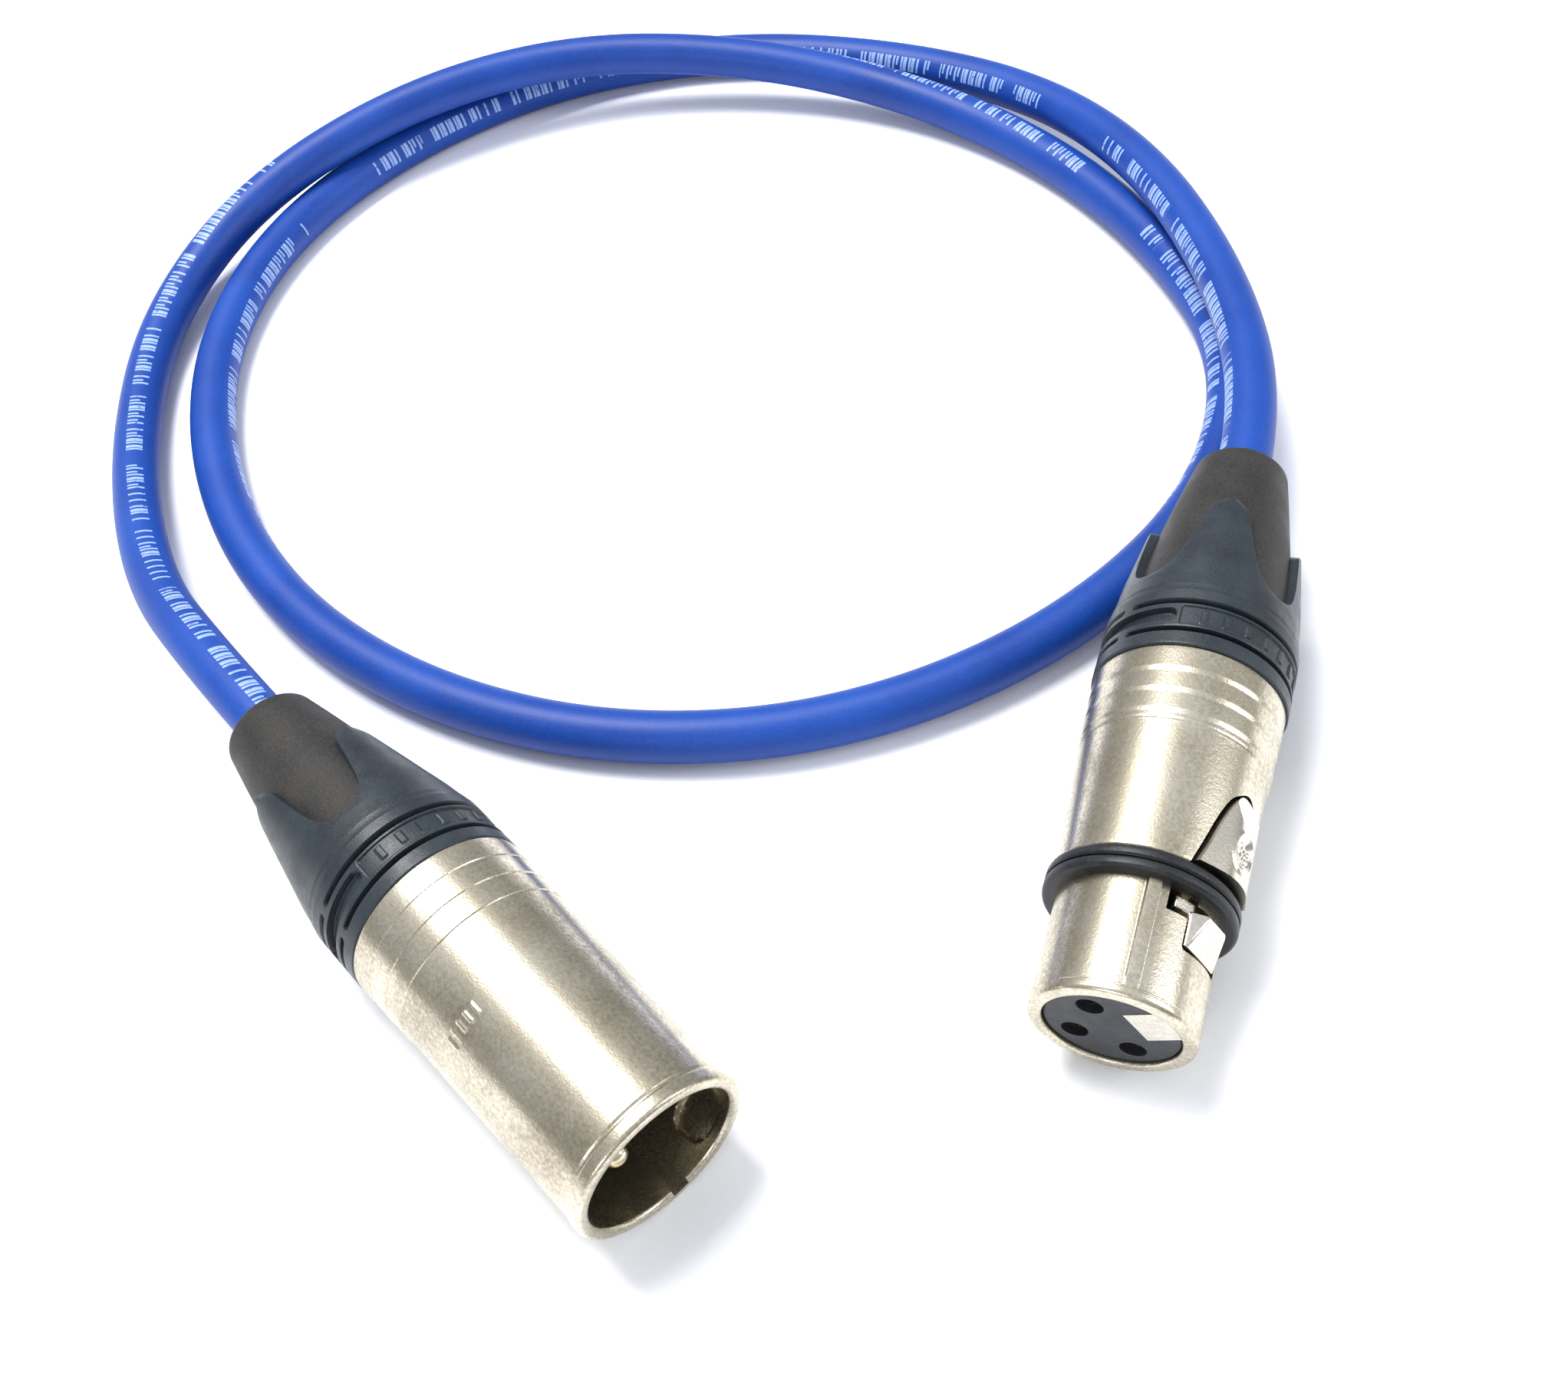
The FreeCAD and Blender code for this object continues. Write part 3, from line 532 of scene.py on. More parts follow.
def around(count, walls=()):
    """Angles round the axis in radians, with closely spaced pairs where a wall stands."""
    angles = list(np.arange(count) * 360.0 / count)
    for wall in walls:
        angles += [(wall + offset) % 360 for offset in (-0.5, -0.12, 0.12, 0.5)]
    return np.radians(np.unique(np.round(angles, 4)))


def revolve(line, angles, relief=None):
    """Points and faces of a closed (radius, depth) line turned round the axis.

    relief(radius, depth, angle) is added to the radius.
    """
    radius = np.repeat(line[:, :1], len(angles), 1)
    depth = np.repeat(line[:, 1:], len(angles), 1)
    theta = np.repeat(angles[None, :], len(line), 0)
    if relief is not None:
        radius = radius + relief(radius, depth, theta)
    points = np.stack([radius * np.cos(theta), radius * np.sin(theta), depth], -1)
    return points.reshape(-1, 3), grid_faces(len(line), len(angles), True, True)


def grid_faces(rows, columns, wrap_rows=False, wrap_columns=False):
    """Faces between the points of a grid, closed into a ring or a tube where it wraps."""
    faces = []
    for i in range(rows if wrap_rows else rows - 1):
        for j in range(columns if wrap_columns else columns - 1):
            k, m = (i + 1) % rows, (j + 1) % columns
            faces.append((i * columns + j, i * columns + m, k * columns + m, k * columns + j))
    return faces


def two_sides(rows, columns):
    """Faces of a grid, and of a second grid behind it that faces the other way."""
    front = grid_faces(rows, columns)
    count = rows * columns
    return front + [tuple(index + count for index in reversed(face)) for face in front]


def slab(top, bottom):
    """Closed solid between two grids of the same size, with walls round their edge."""
    rows, columns = top.shape[:2]
    count = rows * columns
    faces = two_sides(rows, columns)
    rim = list(range(columns))
    rim += [i * columns + columns - 1 for i in range(1, rows)]
    rim += [(rows - 1) * columns + j for j in range(columns - 2, -1, -1)]
    rim += [i * columns for i in range(rows - 2, 0, -1)]
    for a, b in zip(rim, rim[1:] + rim[:1]):
        faces.append((a, b, b + count, a + count))
    return np.concatenate([top.reshape(-1, 3), bottom.reshape(-1, 3)]), faces


def prism(outline_points, low, high, axis):
    """Points and faces of a straight prism. The outline is in the other two axes, in order."""
    flat = np.asarray(outline_points, float)
    count = len(flat)
    others = [i for i in range(3) if i != axis]
    points = np.zeros((2 * count, 3))
    for end, level in enumerate((low, high)):
        points[end * count:(end + 1) * count, others] = flat
        points[end * count:(end + 1) * count, axis] = level
    faces = [tuple(range(count)), tuple(range(2 * count - 1, count - 1, -1))]
    faces += [(i, (i + 1) % count, (i + 1) % count + count, i + count) for i in range(count)]
    return points, faces


def loft(sections):
    """Points and faces of a solid through matching closed sections."""
    rows, count = len(sections), len(sections[0])
    faces = grid_faces(rows, count, False, True)
    faces += [tuple(range(count)), tuple(range(rows * count - 1, (rows - 1) * count - 1, -1))]
    return np.array(sections, float).reshape(-1, 3), faces


def soften(piece, width, segments=2, angle=35.0):
    """Round the piece's sharp edges by a bevel."""
    bevel = piece.modifiers.new("soft_edges", "BEVEL")
    bevel.width = width * MM
    bevel.segments = segments
    bevel.limit_method = "ANGLE"
    bevel.angle_limit = math.radians(angle)


def cut_away(piece, cutters, sharp=32.0):
    """Take prisms, given as (points, faces) in local millimetres, out of a piece."""
    made = []
    for number, (points, faces) in enumerate(cutters):
        cutter = bpy.data.objects.new(f"cutter_{number}", make_mesh("cutter", points, faces, False))
        bpy.context.scene.collection.objects.link(cutter)
        cutter.matrix_world = piece.matrix_world
        modifier = piece.modifiers.new(f"cut_{number}", "BOOLEAN")
        modifier.object = cutter
        modifier.operation = "DIFFERENCE"
        modifier.solver = "EXACT"
        made.append(cutter)
    bpy.context.view_layer.update()
    view = bpy.context.evaluated_depsgraph_get()
    result = bpy.data.meshes.new_from_object(piece.evaluated_get(view), depsgraph=view)
    piece.modifiers.clear()
    piece.data = result
    for cutter in made:
        bpy.data.objects.remove(cutter)
    shade(piece, sharp)


def spread(angle, centre):
    """Signed difference of two angles in radians."""
    return (angle - centre + math.pi) % TAU - math.pi


# ---------------------------------------------------------------- the cable
# The cable's route, in millimetres, from the male connector's sleeve to the female one's.
CABLE_ROUTE = (
    (-63.4, 33.0, 11.0),
    (-75.5, 53.5, 6.0),
    (-82.0, 82.0, 3.0),
    (-81.0, 109.5, 3.2),
    (-67.5, 130.0, 7.5),
    (-44.0, 145.5, 9.8),
    (-18.0, 152.0, 9.5),
    (8.5, 147.5, 7.5),
    (32.5, 135.5, 4.5),
    (50.5, 116.5, 3.0),
    (61.5, 91.5, 3.0),
    (65.0, 64.5, 3.0),
    (54.5, 41.0, 3.0),
    (33.0, 24.0, 3.0),
    (6.5, 16.0, 3.0),
    (-20.0, 19.0, 3.0),
    (-43.5, 31.5, 3.0),
    (-61.5, 51.5, 3.0),
    (-71.0, 77.0, 3.0),
    (-72.0, 104.0, 3.0),
    (-62.5, 128.5, 3.0),
    (-42.5, 147.0, 3.0),
    (-17.5, 157.0, 3.0),
    (9.5, 156.0, 3.0),
    (34.0, 145.5, 3.2),
    (52.5, 126.5, 5.6),
    (62.0, 101.0, 8.8),
    (64.5, 72.0, 10.2),
    (61.2, 47.8, 11.4),
)
CABLE_SIDES = 40
SPLINE_STEPS = 24
TURN_SMOOTHING = 41
# Where the print sits: share of the length, degrees from the top towards the loop's inside.
PRINT_TURNS = ((0.0, 25), (0.13, 12), (0.19, -50), (0.25, -85), (0.29, -25), (0.33, 15), (0.40, 50),
               (0.47, 95), (0.60, 95), (0.68, 72), (0.80, 55), (0.90, 60), (1.0, 72))


def route_line(start, end):
    """Points on the smooth NURBS line of the route, in metres."""
    points = [start] + [Vector(point) * MM for point in CABLE_ROUTE] + [end]
    curve = bpy.data.curves.new("cable_route", "CURVE")
    curve.dimensions = "3D"
    spline = curve.splines.new("NURBS")
    spline.points.add(len(points) - 1)
    for slot, point in zip(spline.points, points):
        slot.co = (*point, 1)
    spline.order_u = 3
    spline.use_endpoint_u = True
    spline.resolution_u = SPLINE_STEPS
    carrier = bpy.data.objects.new("cable_route", curve)
    mesh = bpy.data.meshes.new_from_object(carrier)
    line = np.array([vertex.co for vertex in mesh.vertices])
    bpy.data.objects.remove(carrier)
    return line


def make_cable():
    """The jacket as a tube along the route, with UVs in millimetres along and around it."""
    start = MALE @ (Vector((0, 0, MALE_BOUNDARY + SLEEVE_END)) * MM)
    end = FEMALE @ (Vector((0, 0, FEMALE_BOUNDARY + SLEEVE_END)) * MM)
    line = route_line(start, end)
    steps = np.linalg.norm(np.diff(line, axis=0), axis=1)
    length = np.concatenate([[0], np.cumsum(steps)])
    tangent = np.gradient(line, axis=0)
    tangent /= np.linalg.norm(tangent, axis=1)[:, None]
    up = np.array([0, 0, 1.0]) - tangent * tangent[:, 2:]
    up /= np.linalg.norm(up, axis=1)[:, None]
    inward = np.cross(tangent, up)
    stops = np.array(PRINT_TURNS)
    share = length / length[-1]
    turn = np.radians(np.interp(share, stops[:, 0], stops[:, 1]))
    padded = np.pad(turn, TURN_SMOOTHING // 2, mode="edge")
    turn = np.convolve(padded, np.ones(TURN_SMOOTHING) / TURN_SMOOTHING, "valid")
    columns = np.linspace(-math.pi, math.pi, CABLE_SIDES + 1)
    angle = turn[:, None] + columns[None, :]
    spoke = up[:, None, :] * np.cos(angle)[..., None] + inward[:, None, :] * np.sin(angle)[..., None]
    points = line[:, None, :] / MM + spoke * CABLE_RADIUS
    rows = len(line)
    ring = points[:, :-1, :].reshape(-1, 3)
    faces = grid_faces(rows, CABLE_SIDES, False, True)
    last = rows * CABLE_SIDES - 1
    faces += [tuple(range(CABLE_SIDES)), tuple(range(last, last - CABLE_SIDES, -1))]
    cable = make_piece("cable_jacket", ring, faces, Matrix.Identity(4), "jacket", sharp=60, weld=False)
    layer = cable.data.uv_layers.new(name="along_and_around")
    for polygon in cable.data.polygons:
        sides = [index % CABLE_SIDES for index in polygon.vertices]
        wraps = max(sides) - min(sides) > CABLE_SIDES / 2
        for loop, index in zip(polygon.loop_indices, polygon.vertices):
            side = index % CABLE_SIDES
            if wraps and side == 0:
                side = CABLE_SIDES
            row = index // CABLE_SIDES
            layer.data[loop].uv = (length[row] / MM, columns[side] * CABLE_RADIUS)
    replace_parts(cable, "cable")


# ---------------------------------------------------------------- collars and sleeves
def trough(distance, width=0.1):
    """1 inside a shape and 0 outside it, with a steep wall of the given width between."""
    return smooth(0.5 - distance / width)


def ring_relief(plate_turn):
    """Relief of the grip ring: long thin slots, short wide slots, and ribbed plates."""
    rib_pitch = 2 * PLATE_REACH / (PLATE_RIBS + 1)

    def slot(sideways, depth, reach, middle, half):
        past = np.maximum(sideways - math.radians(reach) * COLLAR_RADIUS, 0)
        return -SLOT_DEPTH * trough(np.hypot(past, depth - middle) - half)

    def plate(turn, depth):
        reach = math.radians(PLATE_REACH) * COLLAR_RADIUS
        edge = rounded_box(turn * COLLAR_RADIUS, depth - PLATE_MIDDLE, reach, PLATE_HALF, PLATE_CORNER)
        degrees = np.degrees(turn)
        from_rib = degrees - rib_pitch * np.round(degrees / rib_pitch)
        rib_side = np.abs(np.radians(from_rib)) * COLLAR_RADIUS - PLATE_RIB_HALF
        rib_end = np.abs(depth - PLATE_MIDDLE) - PLATE_HALF + PLATE_RIB_MARGIN
        rib = trough(np.maximum(rib_side, rib_end)) * (np.abs(degrees) < PLATE_REACH - rib_pitch / 2)
        return -PLATE_DEPTH * trough(edge) * (1 - 0.9 * rib)

    def relief(radius, depth, theta):
        change = np.zeros_like(radius)
        for side in (0, 180):
            turn = spread(theta, math.radians(plate_turn + side))
            for middle in THIN_SLOT_MIDDLES:
                thin = slot(np.abs(turn) * COLLAR_RADIUS, depth, THIN_SLOT_REACH, middle, THIN_SLOT_HALF)
                change = np.minimum(change, thin)
            change = np.minimum(change, plate(turn, depth))
        for side in (-90, 90):
            sideways = np.abs(spread(theta, math.radians(plate_turn + side))) * COLLAR_RADIUS
            wide = slot(sideways, depth, WIDE_SLOT_REACH, WIDE_SLOT_MIDDLE, WIDE_SLOT_HALF)
            change = np.minimum(change, wide)
        return change * smooth((radius - 9.6) / 0.2)

    return relief


def make_collar(name, place, boundary, plate_turn, petal_turn):
    """The grip ring with its slots, and the crown of four petals behind it."""
    skin = outline([
        (COLLAR_NECK_RADIUS, 0), (COLLAR_RADIUS, 0, 0.22),
        (COLLAR_RADIUS, CONE_START - FACE_GAP, 0.12), (CONE_LAP_RADIUS, CONE_START, 0.03),
        (CONE_LAP_RADIUS, CONE_START + CONE_LAP), (CONE_LAP_BORE, CONE_START + CONE_LAP),
        (CONE_LAP_BORE, 0.4),
    ], longest=lambda middle: 0.11 if middle[0] > CONE_RADIUS else 1.0)
    points, faces = revolve(skin, around(620), ring_relief(plate_turn))
    points[:, 2] += boundary
    ring = make_piece(name + "_ring", points, faces, place, "collar_plastic", sharp=50)
    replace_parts(ring, name)
    points, faces = petal_crown(petal_turn)
    points[:, 2] += boundary
    crown = make_piece(name + "_petals", points, faces, place, "collar_plastic", sharp=40)
    soften(crown, 0.22, 3, 40)


def petal_edge(steps):
    """Smooth (depth, half width) points up one side of the gap between petals."""
    stops = np.array([(PETAL_GAP[1][0], -PETAL_GAP[1][1])] + list(PETAL_GAP))
    return smooth_through(np.vstack([stops, 2 * stops[-1] - stops[-2]]), steps)


def petal_crown(petal_turn):
    """Four bellied petals on one band, as a solid shell."""
    columns = 40
    band = [(depth, 0.0) for depth in np.linspace(CONE_START + 0.05, NOTCH_BOTTOM, 12)[:-1]]
    edge = np.vstack([band, petal_edge(6)])
    depth = edge[:, 0]
    slope = (CONE_RADIUS - PETAL_TIP_RADIUS) / (PETAL_TIP - CONE_START)
    radius = CONE_RADIUS - (depth - CONE_START) * slope
    gap = edge[:, 1] / radius
    rows = len(depth)
    count = rows * columns
    height = np.repeat(depth[:, None], columns, 1)
    t = np.linspace(0, 1, columns)[None, :]
    belly = PETAL_BELLY * smooth((depth - 9.0) / 4)[:, None] * (4 * t * (1 - t) - 0.25)
    all_points, all_faces = [], []
    for quarter in range(4):
        first = math.radians(petal_turn - 45 + 90 * quarter)
        theta = first + gap[:, None] + (math.pi / 2 - 2 * gap[:, None]) * t
        for r in (radius[:, None] + belly, radius[:, None] - PETAL_THICKNESS):
            layer = np.stack([r * np.cos(theta), r * np.sin(theta), height], -1)
            all_points.append(layer.reshape(-1, 3))
        faces = two_sides(rows, columns)
        top_row = (rows - 1) * columns
        for j in range(columns - 1):
            faces.append((j, j + 1, j + 1 + count, j + count))
            faces.append((top_row + j, top_row + j + 1, top_row + j + 1 + count, top_row + j + count))
        for i in range(len(band), rows - 1):
            for j in (0, columns - 1):
                a, b = i * columns + j, (i + 1) * columns + j
                faces.append((a, b, b + count, a + count))
        offset = quarter * 2 * count
        all_faces += [tuple(index + offset for index in face) for face in faces]
    return np.concatenate(all_points), all_faces


def make_sleeve(name, place, boundary):
    """Tapered rubber sleeve with a rounded end round the cable."""
    bore = CABLE_RADIUS + FACE_GAP
    line = outline([
        (8.9, SLEEVE_START), (7.05, PETAL_TIP, 30), (6.05, 28.0, 30), (5.15, SLEEVE_END, 0.9),
        (bore, SLEEVE_END, 0.25), (bore, 17.0), (6.2, 12.0), (7.6, SLEEVE_START),
    ], longest=0.8)
    points, faces = revolve(line, around(160))
    points[:, 2] += boundary
    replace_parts(make_piece(name, points, faces, place, "sleeve_rubber"), name)


# ---------------------------------------------------------------- male connector
WALL_WIDTH = 0.16
KEYWAY_ANGLE = 49.0
KEYWAY_WALLS = (42.8, 55.2)
KEYWAY_HALF = 0.87
KEYWAY_FLOOR = 8.56
RECESS_MIDDLE = 3.45
RECESS_HALF_WIDTH = 3.4
RECESS_HALF_LENGTH = 2.05
RECESS_CORNER = 1.7
RECESS_SINK = 0.7
RECESS_END = 6.4
TICKS = 5
FIRST_TICK = -178.0
TICK_PITCH = 6.2
TICK_BAND = (18.2, 20.4)
TICK_MIDDLE = 19.3
TICK_RADIUS = 9.6
TICK_HALF_WIDTH = 0.17
TICK_HALF_LENGTH = 0.75
TICK_HEIGHT = 0.12


def make_male_shell():
    """Cast shell: rounded lip, bore with keyway and latch recess, low steps, raised tick marks."""
    bore = MALE_BORE_RADIUS
    rear = MALE_BOUNDARY - FACE_GAP

    def longest(middle):
        is_fine = middle[1] < RECESS_END or TICK_BAND[0] < middle[1] < TICK_BAND[1]
        return 0.15 if is_fine else 0.6

    line = outline([
        (bore, MALE_INSERT_DEPTH), (bore, RECESS_END), (bore, 0, 0.45), (MALE_LIP_RADIUS, 0, 0.5),
        (MALE_LIP_RADIUS, 1.45, 0.25), (9.22, 1.62), (9.22, 1.78), (9.32, 2.0, 0.2),
        (TICK_RADIUS, TICK_BAND[0]), (9.63, TICK_BAND[1]), (9.72, 26.5, 0.1), (9.84, 26.6),
        (9.84, 29.1), (9.95, 29.2), (9.95, 31.7), (10.04, 31.8), (10.04, rear, 0.12),
        (COLLAR_NECK_RADIUS, rear), (COLLAR_NECK_RADIUS, 27.4), (MALE_SEAT_RADIUS, 27.2),
        (MALE_SEAT_RADIUS, MALE_INSERT_DEPTH),
    ], longest)

    def relief(radius, depth, theta):
        """Keyway and latch recess cut from the bore, ticks raised on the outside."""
        from_keyway = np.abs(spread(theta, math.radians(KEYWAY_ANGLE))) * bore
        keyway = smooth((KEYWAY_HALF - from_keyway) / 0.04)
        keyway = keyway * (radius < KEYWAY_FLOOR) * (depth < MALE_INSERT_DEPTH - 0.01)
        change = np.maximum(0, keyway * (KEYWAY_FLOOR - radius))
        recess = rounded_box(spread(theta, 0.0) * bore, depth - RECESS_MIDDLE,
                             RECESS_HALF_WIDTH, RECESS_HALF_LENGTH, RECESS_CORNER)
        change = np.maximum(change, trough(recess, WALL_WIDTH) * (radius < 8.2) * RECESS_SINK)
        outer = (radius > 9.3) & (depth > 3) & (depth < 26)
        for number in range(TICKS):
            from_tick = np.abs(spread(theta, math.radians(FIRST_TICK + TICK_PITCH * number))) * TICK_RADIUS
            from_end = np.abs(depth - TICK_MIDDLE) - TICK_HALF_LENGTH
            tick = np.maximum(from_tick - TICK_HALF_WIDTH, from_end)
            change = np.maximum(change, TICK_HEIGHT * trough(tick, WALL_WIDTH) * outer)
        return change

    points, faces = revolve(line, around(420, KEYWAY_WALLS), relief)
    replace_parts(make_piece("male_shell_cast", points, faces, MALE, "nickel", sharp=40), "male_shell")


def make_male_pins():
    """Three contact pins with round noses, flanged roots and solder cups."""
    flange_front, flange_rear = PIN_FLANGE_DEPTHS
    cup_floor = INSERT_REAR + CUP_FLOOR
    cup_end = INSERT_REAR + CUP_LENGTH
    line = outline([
        (ON_AXIS, PIN_TIP_DEPTH),
        (PIN_RADIUS, PIN_TIP_DEPTH, PIN_NOSE_ROUNDING), (PIN_RADIUS, MALE_INSERT_DEPTH),
        (PIN_ROOT_RADIUS, MALE_INSERT_DEPTH), (PIN_ROOT_RADIUS, flange_front),
        (PIN_FLANGE_RADIUS, flange_front), (PIN_FLANGE_RADIUS, flange_rear),
        (PIN_ROOT_RADIUS, flange_rear), (PIN_ROOT_RADIUS, INSERT_REAR),
        (CUP_OUTER_RADIUS, INSERT_REAR), (CUP_OUTER_RADIUS, cup_end, 0.1),
        (CUP_RADIUS, cup_end), (CUP_RADIUS, cup_floor), (ON_AXIS, cup_floor),
    ], longest=1.2, corner_steps=10)
    points, faces = revolve(line, around(48))
    for number, angle in enumerate(CONTACT_ANGLES, start=1):
        angle = math.radians(angle)
        centre = [CONTACT_CIRCLE_RADIUS * math.cos(angle), CONTACT_CIRCLE_RADIUS * math.sin(angle), 0]
        pin = make_piece(f"male_pin_{number}_turned", points + centre, faces, MALE, "contact_metal", sharp=40)
        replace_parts(pin, f"male_pin_{number}")


# ---------------------------------------------------------------- female connector
RIB_ANGLE = -49.0
RIB_WALLS = (-43.6, -54.4)
RIB_HALF = 0.74
RIB_START = 1.4
RIB_HEIGHT = 0.45
EAR_RADII = (6.4, 7.7)
EAR_ANGLES = (-32, -26, -21, -16)
EAR_ROOM_RADII = (5.8, 8.9)
EAR_ROOM_ANGLES = (-38, -31, -23, -15)


def make_female_shell():
    """Cast shell: nose with its rib, window and ear opening, shoulder, pad opening, low steps."""
    bore, barrel, seat = BARREL_BORE_RADIUS, BARREL_RADIUS, FEMALE_SEAT_RADIUS
    rear = FEMALE_BOUNDARY - FACE_GAP
    line = outline([
        (bore, FEMALE_SEAT_DEPTH), (bore, 0, 0.25), (barrel, 0, 0.55), (barrel, 0.95, 0.06),
        (7.84, 1.0), (7.84, 1.12), (barrel, 1.17), (barrel, RING_REAR), (8.95, RING_REAR, 0.3),
        (9.47, 28.9, 0.1), (9.6, 29.1), (9.62, 29.9), (9.68, 30.0), (9.7, 32.4), (9.76, 32.5),
        (9.78, 34.9), (9.84, 35.0), (9.84, rear, 0.12), (COLLAR_NECK_RADIUS, rear),
        (COLLAR_NECK_RADIUS, 30.7), (seat, 30.4), (seat, FEMALE_SEAT_DEPTH),
    ], longest=0.4)

    def relief(radius, depth, theta):
        """The rib along the nose."""
        from_rib = np.abs(spread(theta, math.radians(RIB_ANGLE))) * barrel
        front = smooth((depth - RIB_START) / 0.9)
        outer = (radius > 7.7) & (radius < 8.0) & (depth < RING_REAR - 0.05)
        return RIB_HEIGHT * smooth((RIB_HALF - from_rib) / 0.12) * front * outer

    points, faces = revolve(line, around(300, RIB_WALLS), relief)
    shell = make_piece("female_shell_cast", points, faces, FEMALE, "nickel")
    half, (front, back) = WINDOW_HALF_WIDTH, WINDOW_DEPTH
    window = outline([(-half, front, 0.4), (half, front, 0.4), (half, back, 0.4), (-half, back, 0.4)], 9)
    cut_away(shell, [
        prism(window, 5, 9, 0),
        prism(sector(EAR_ROOM_RADII, EAR_ROOM_ANGLES), EAR_DEPTH[0] - 0.7, RING_FRONT, 2),
        prism(pad_outline(0), 5.0, 12, 0),
    ])
    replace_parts(shell, "female_shell")


def pad_outline(shrink):
    """Boat-shaped outline of the pad's opening as (y, depth) points."""
    front = RING_REAR + 0.4 if shrink else RING_REAR
    side = [(half - shrink, max(depth, front)) for depth, half in PAD_SIDE]
    tip = [(0.0, PAD_END - shrink)]
    whole = side + tip + [(-y, depth) for y, depth in reversed(side)]
    stops = np.array(whole)
    return smooth_through(np.vstack([2 * stops[0] - stops[1], stops, 2 * stops[-1] - stops[-2]]), 6)


PAD_ROWS = 90
PAD_COLUMNS = 91
CREST_HALF_WIDTH = 1.5
CREST_SHARPNESS = 3
FLANK_SLOPE = (PAD_CREST - 7.9) / 3.7
TAIL_START = 20.8
TAIL_SLOPE = 0.24
DISH_MIDDLE = 18.2
DISH_HALF_WIDTH = 1.45
DISH_HALF_LENGTH = 2.0
DISH_SINK = 0.5
DISH_RIM_HEIGHT = 0.14
DISH_BARS = (-0.75, 0.0, 0.75)
BAR_HALF_WIDTH = 0.14
BAR_HEIGHT = 0.16


def make_push_pad():
    """Push pad of the latch: flat bright flanks, a rounded crest, and an oval dish with bars."""
    edge = pad_outline(PAD_CLEARANCE)
    right = edge[: len(edge) // 2 + 1]
    depth = np.interp(np.linspace(0, 1, PAD_ROWS) ** 0.9, np.linspace(0, 1, len(right)), right[:, 1])
    half = np.maximum(np.interp(depth, right[:, 1], right[:, 0]), 0.02)
    y = half[:, None] * np.linspace(-1, 1, PAD_COLUMNS)[None, :]
    z = np.repeat(depth[:, None], PAD_COLUMNS, 1)
    flank = PAD_CREST - (np.abs(y) - CREST_HALF_WIDTH) * FLANK_SLOPE
    x = -np.log(np.exp(-CREST_SHARPNESS * flank) + np.exp(-CREST_SHARPNESS * PAD_CREST)) / CREST_SHARPNESS
    x = np.minimum(x, PAD_CREST - np.maximum(z - TAIL_START, 0) * TAIL_SLOPE)
    oval = np.hypot(y / DISH_HALF_WIDTH, (z - DISH_MIDDLE) / DISH_HALF_LENGTH)
    x = x - DISH_SINK * smooth((1.0 - oval) / 0.7)
    x = x + DISH_RIM_HEIGHT * np.exp(-((oval - 1.08) / 0.1) ** 2)
    for offset in DISH_BARS:
        from_bar = np.abs((z - DISH_MIDDLE - offset) * 0.92 + y * 0.39) - BAR_HALF_WIDTH
        x = x + BAR_HEIGHT * trough(from_bar, 0.14) * smooth((0.72 - oval) / 0.1)
    top = np.stack([x, y, z], -1)
    floor = np.stack([np.full_like(x, PAD_FLOOR), y, z], -1)
    points, faces = slab(top, floor)
    pad = make_piece("latch_push_pad", points, faces, FEMALE, "nickel_bright", "latch", sharp=50)
    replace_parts(pad, "female_latch_lever")


# The hook's crest height and half width at each depth.
HOOK_SECTIONS = ((7.1, 7.6, 2.4), (10.2, 8.75, 1.6), (10.7, 8.7, 1.6))
HOOK_FLOOR = 5.2
HOOK_SHOULDER = 7.45


def bar(half_width, depths, thickness):
    """A flat bar along the depth, between two heights."""
    front, rear = depths
    corners = [(-half_width, front), (half_width, front), (half_width, rear), (-half_width, rear)]
    return prism(corners, *thickness, 0)


def make_latch_parts():
    """The lever's hook, strap, neck, side ear and eye."""
    wide = HOOK_HALF_WIDTH
    hook = []
    for depth, crest, half in HOOK_SECTIONS:
        edge = ((HOOK_FLOOR, -wide), (HOOK_SHOULDER, -wide), (crest, -half),
                (crest, half), (HOOK_SHOULDER, wide), (HOOK_FLOOR, wide))
        hook.append([(x, y, depth) for x, y in edge])
    parts = {
        "latch_hook": loft(hook),
        "latch_strap": bar(STRAP_HALF_WIDTH, STRAP_DEPTH, STRAP_X),
        "latch_neck": bar(NECK_HALF_WIDTH, NECK_DEPTH, NECK_X),
        "latch_ear": prism(sector(EAR_RADII, EAR_ANGLES), *EAR_DEPTH, 2),
    }
    for name, (points, faces) in parts.items():
        soften(make_piece(name, points, faces, FEMALE, "nickel_bright", "latch"), 0.14, 3)
    steps = np.linspace(0, TAU, EYE_SIDES + 1)[:-1]
    rim = np.stack([PIVOT_X + EYE_RADIUS * np.cos(steps), PIVOT_DEPTH + EYE_RADIUS * np.sin(steps)], -1)
    points, faces = prism(rim, -EYE_RADIUS, EYE_RADIUS, 1)
    soften(make_piece("latch_eye", points, faces, FEMALE, "nickel_bright", "latch"), 0.12, 2, 60)


def make_ring():
    """Black rubber ring with two rounded ridges."""
    rear = RING_REAR - FACE_GAP
    line = outline([
        (BARREL_RADIUS, RING_FRONT), (RING_RADIUS, RING_FRONT, 0.5), (RING_RADIUS, RING_FRONT + 1.2, 0.42),
        (RING_RADIUS - 0.42, RING_FRONT + 1.25, 0.05), (RING_RADIUS, RING_FRONT + 1.3, 0.42),
        (RING_RADIUS, rear, 0.5), (BARREL_RADIUS, rear),
    ], longest=0.5)
    points, faces = revolve(line, around(240))
    ring = make_piece("female_rubber_ring", points, faces, FEMALE, "ring_rubber", sharp=60)
    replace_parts(ring, "female_ring")


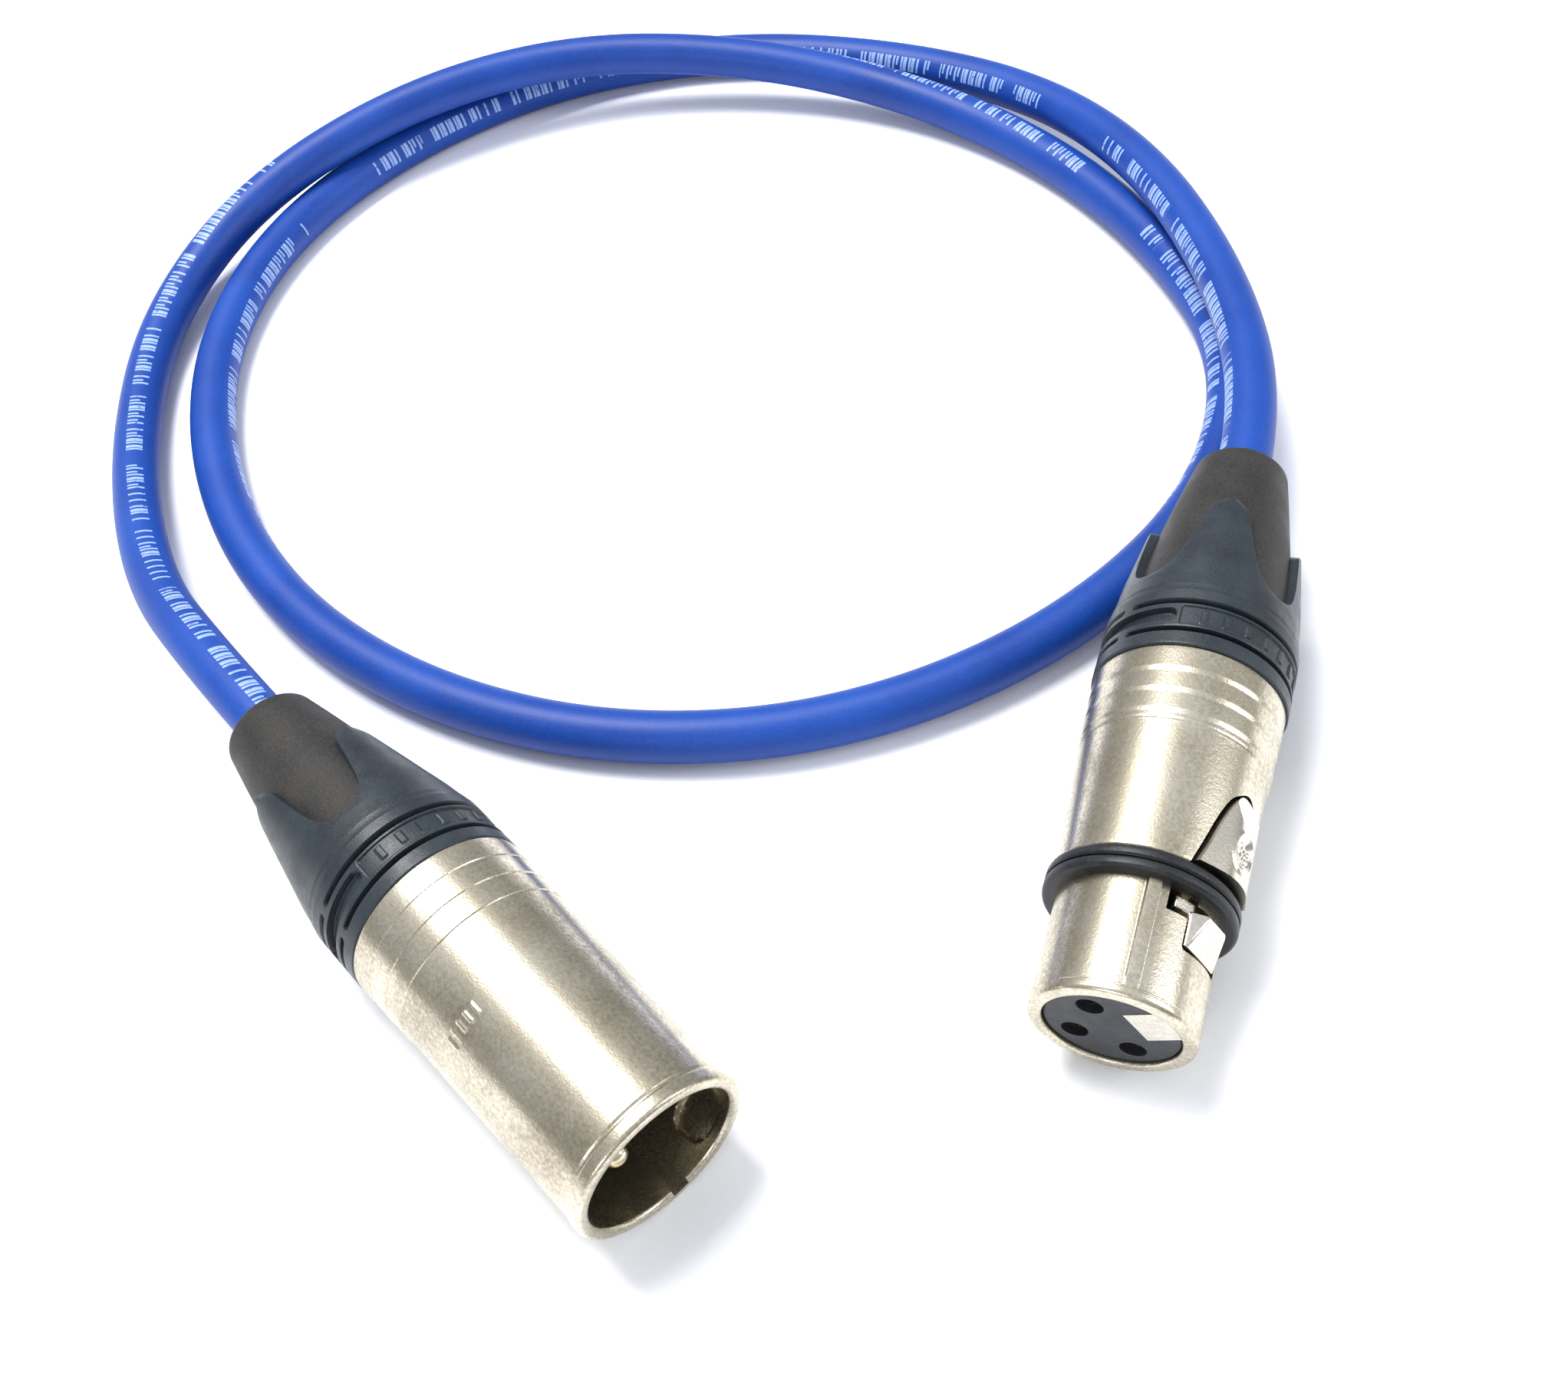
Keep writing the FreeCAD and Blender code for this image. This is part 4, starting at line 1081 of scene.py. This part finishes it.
def make_latch_spring():
    """Bent leaf spring under the push pad."""
    front, rear = SPRING_DEPTHS
    tip = front + 0.6
    upper = SPRING_FOOT + SPRING_THICKNESS
    section = outline([
        (SPRING_FOOT, front), (SPRING_FOOT, rear, 0.6), (SPRING_TOP, tip + 0.3), (SPRING_TOP, tip - 0.1),
        (SPRING_TOP - 0.15, tip - 0.1), (upper, rear - 3.2 * SPRING_THICKNESS, 0.35), (upper, front),
    ], longest=0.5)
    points, faces = prism(section, -SPRING_HALF_WIDTH, SPRING_HALF_WIDTH, 1)
    spring = make_piece("latch_leaf_spring", points, faces, FEMALE, "spring_steel")
    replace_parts(spring, "female_latch_spring")
    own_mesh(spring)


# ---------------------------------------------------------------- carried-over CAD nodes
CARRIED = {
    "male_insert": "insert_plastic",
    "female_insert": "insert_plastic",
    "female_key_block": "nickel_bright",
    "female_latch_pin": "spring_steel",
    "male_ground_contact": "spring_steel",
    "female_ground_contact": "spring_steel",
    "male_chuck": "chuck_plastic",
    "female_chuck": "chuck_plastic",
    "male_jacket_end": "jacket",
    "female_jacket_end": "jacket",
}


def finish_carried_nodes():
    """Give each CAD node that is shown its procedural material."""
    slots = dict(CARRIED)
    for number, wire in enumerate(("wire_shield", "wire_red", "wire_white"), start=1):
        slots[f"female_contact_{number}"] = "contact_metal"
        slots[f"male_wire_{number}"] = wire
        slots[f"female_wire_{number}"] = wire
    for name, slot in slots.items():
        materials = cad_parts[name].data.materials
        materials.clear()
        materials.append(MATERIALS[slot])


# ---------------------------------------------------------------- surroundings
def make_floor():
    """Pale matt table top."""
    s = Surface("floor", Roughness=0.9, Specular_IOR_Level=0.2)
    tone = s.noise(6, 4.0, 0.6)
    colour = s.mix(s.ramp(tone, 0.3, 0.7), linear(238, 240, 245), linear(244, 245, 249))
    material = s.finish(colour, None, s.bump(s.noise(900, 2.0, 0.6), 0.00006))
    mesh = bpy.data.meshes.new("floor")
    reach = 4.0
    corners = [(-reach, -reach, 0), (reach, -reach, 0), (reach, reach, 0), (-reach, reach, 0)]
    mesh.from_pydata(corners, [], [(0, 1, 2, 3)])
    mesh.materials.append(material)
    floor = bpy.data.objects.new("floor", mesh)
    floor.location.z = -0.0001
    bpy.context.scene.collection.objects.link(floor)


def make_light(name, place, size, power, colour):
    """A soft rectangular light that points at the middle of the part."""
    data = bpy.data.lights.new(name, "AREA")
    data.shape = "RECTANGLE"
    data.size, data.size_y = size
    data.energy = power
    data.color = colour
    light = bpy.data.objects.new(name, data)
    bpy.context.scene.collection.objects.link(light)
    light.location = place
    light.rotation_euler = (Vector((0, 0.05, 0)) - Vector(place)).to_track_quat("-Z", "Y").to_euler()


def make_lights():
    """Soft daylight from a large window overhead, weaker light from one side and the front, a pale room."""
    make_light("window", (-0.25, 0.35, 0.95), (0.45, 0.45), 13, (1.0, 0.99, 0.97))
    make_light("side", (0.9, -0.15, 0.55), (0.3, 0.6), 3, (0.97, 0.98, 1.0))
    make_light("front", (-0.5, -0.8, 0.5), (0.45, 0.25), 2, (1.0, 0.98, 0.95))
    world = bpy.data.worlds.new("room")
    bpy.context.scene.world = world
    world.use_nodes = True
    tree = world.node_tree
    background = tree.nodes["Background"]
    place = tree.nodes.new("ShaderNodeTexCoord")
    split = tree.nodes.new("ShaderNodeSeparateXYZ")
    ramp = tree.nodes.new("ShaderNodeValToRGB")
    tree.links.new(place.outputs["Generated"], split.inputs[0])
    tree.links.new(split.outputs[2], ramp.inputs[0])
    tree.links.new(ramp.outputs[0], background.inputs["Color"])
    stops = ramp.color_ramp.elements
    stops[0].position = 0.0
    stops[0].color = (0.34, 0.335, 0.33, 1)
    stops[1].position = 0.9
    stops[1].color = (0.85, 0.88, 0.93, 1)
    background.inputs["Strength"].default_value = 0.8
    view = bpy.context.scene.view_settings
    view.view_transform = "Standard"
    view.exposure = 0.22


make_camera()
make_cable()
make_male_shell()
make_male_pins()
make_collar("male_collar", MALE, MALE_BOUNDARY,
            MALE_PLATE_TURN - MALE_LATCH_TURN, MALE_PETAL_TURN - MALE_LATCH_TURN)
make_sleeve("male_sleeve", MALE, MALE_BOUNDARY)
make_female_shell()
make_push_pad()
make_latch_parts()
make_latch_spring()
make_ring()
make_collar("female_collar", FEMALE, FEMALE_BOUNDARY,
            FEMALE_PLATE_TURN - FEMALE_LATCH_TURN, FEMALE_PETAL_TURN - FEMALE_LATCH_TURN)
make_sleeve("female_sleeve", FEMALE, FEMALE_BOUNDARY)
finish_carried_nodes()
make_floor()
make_lights()
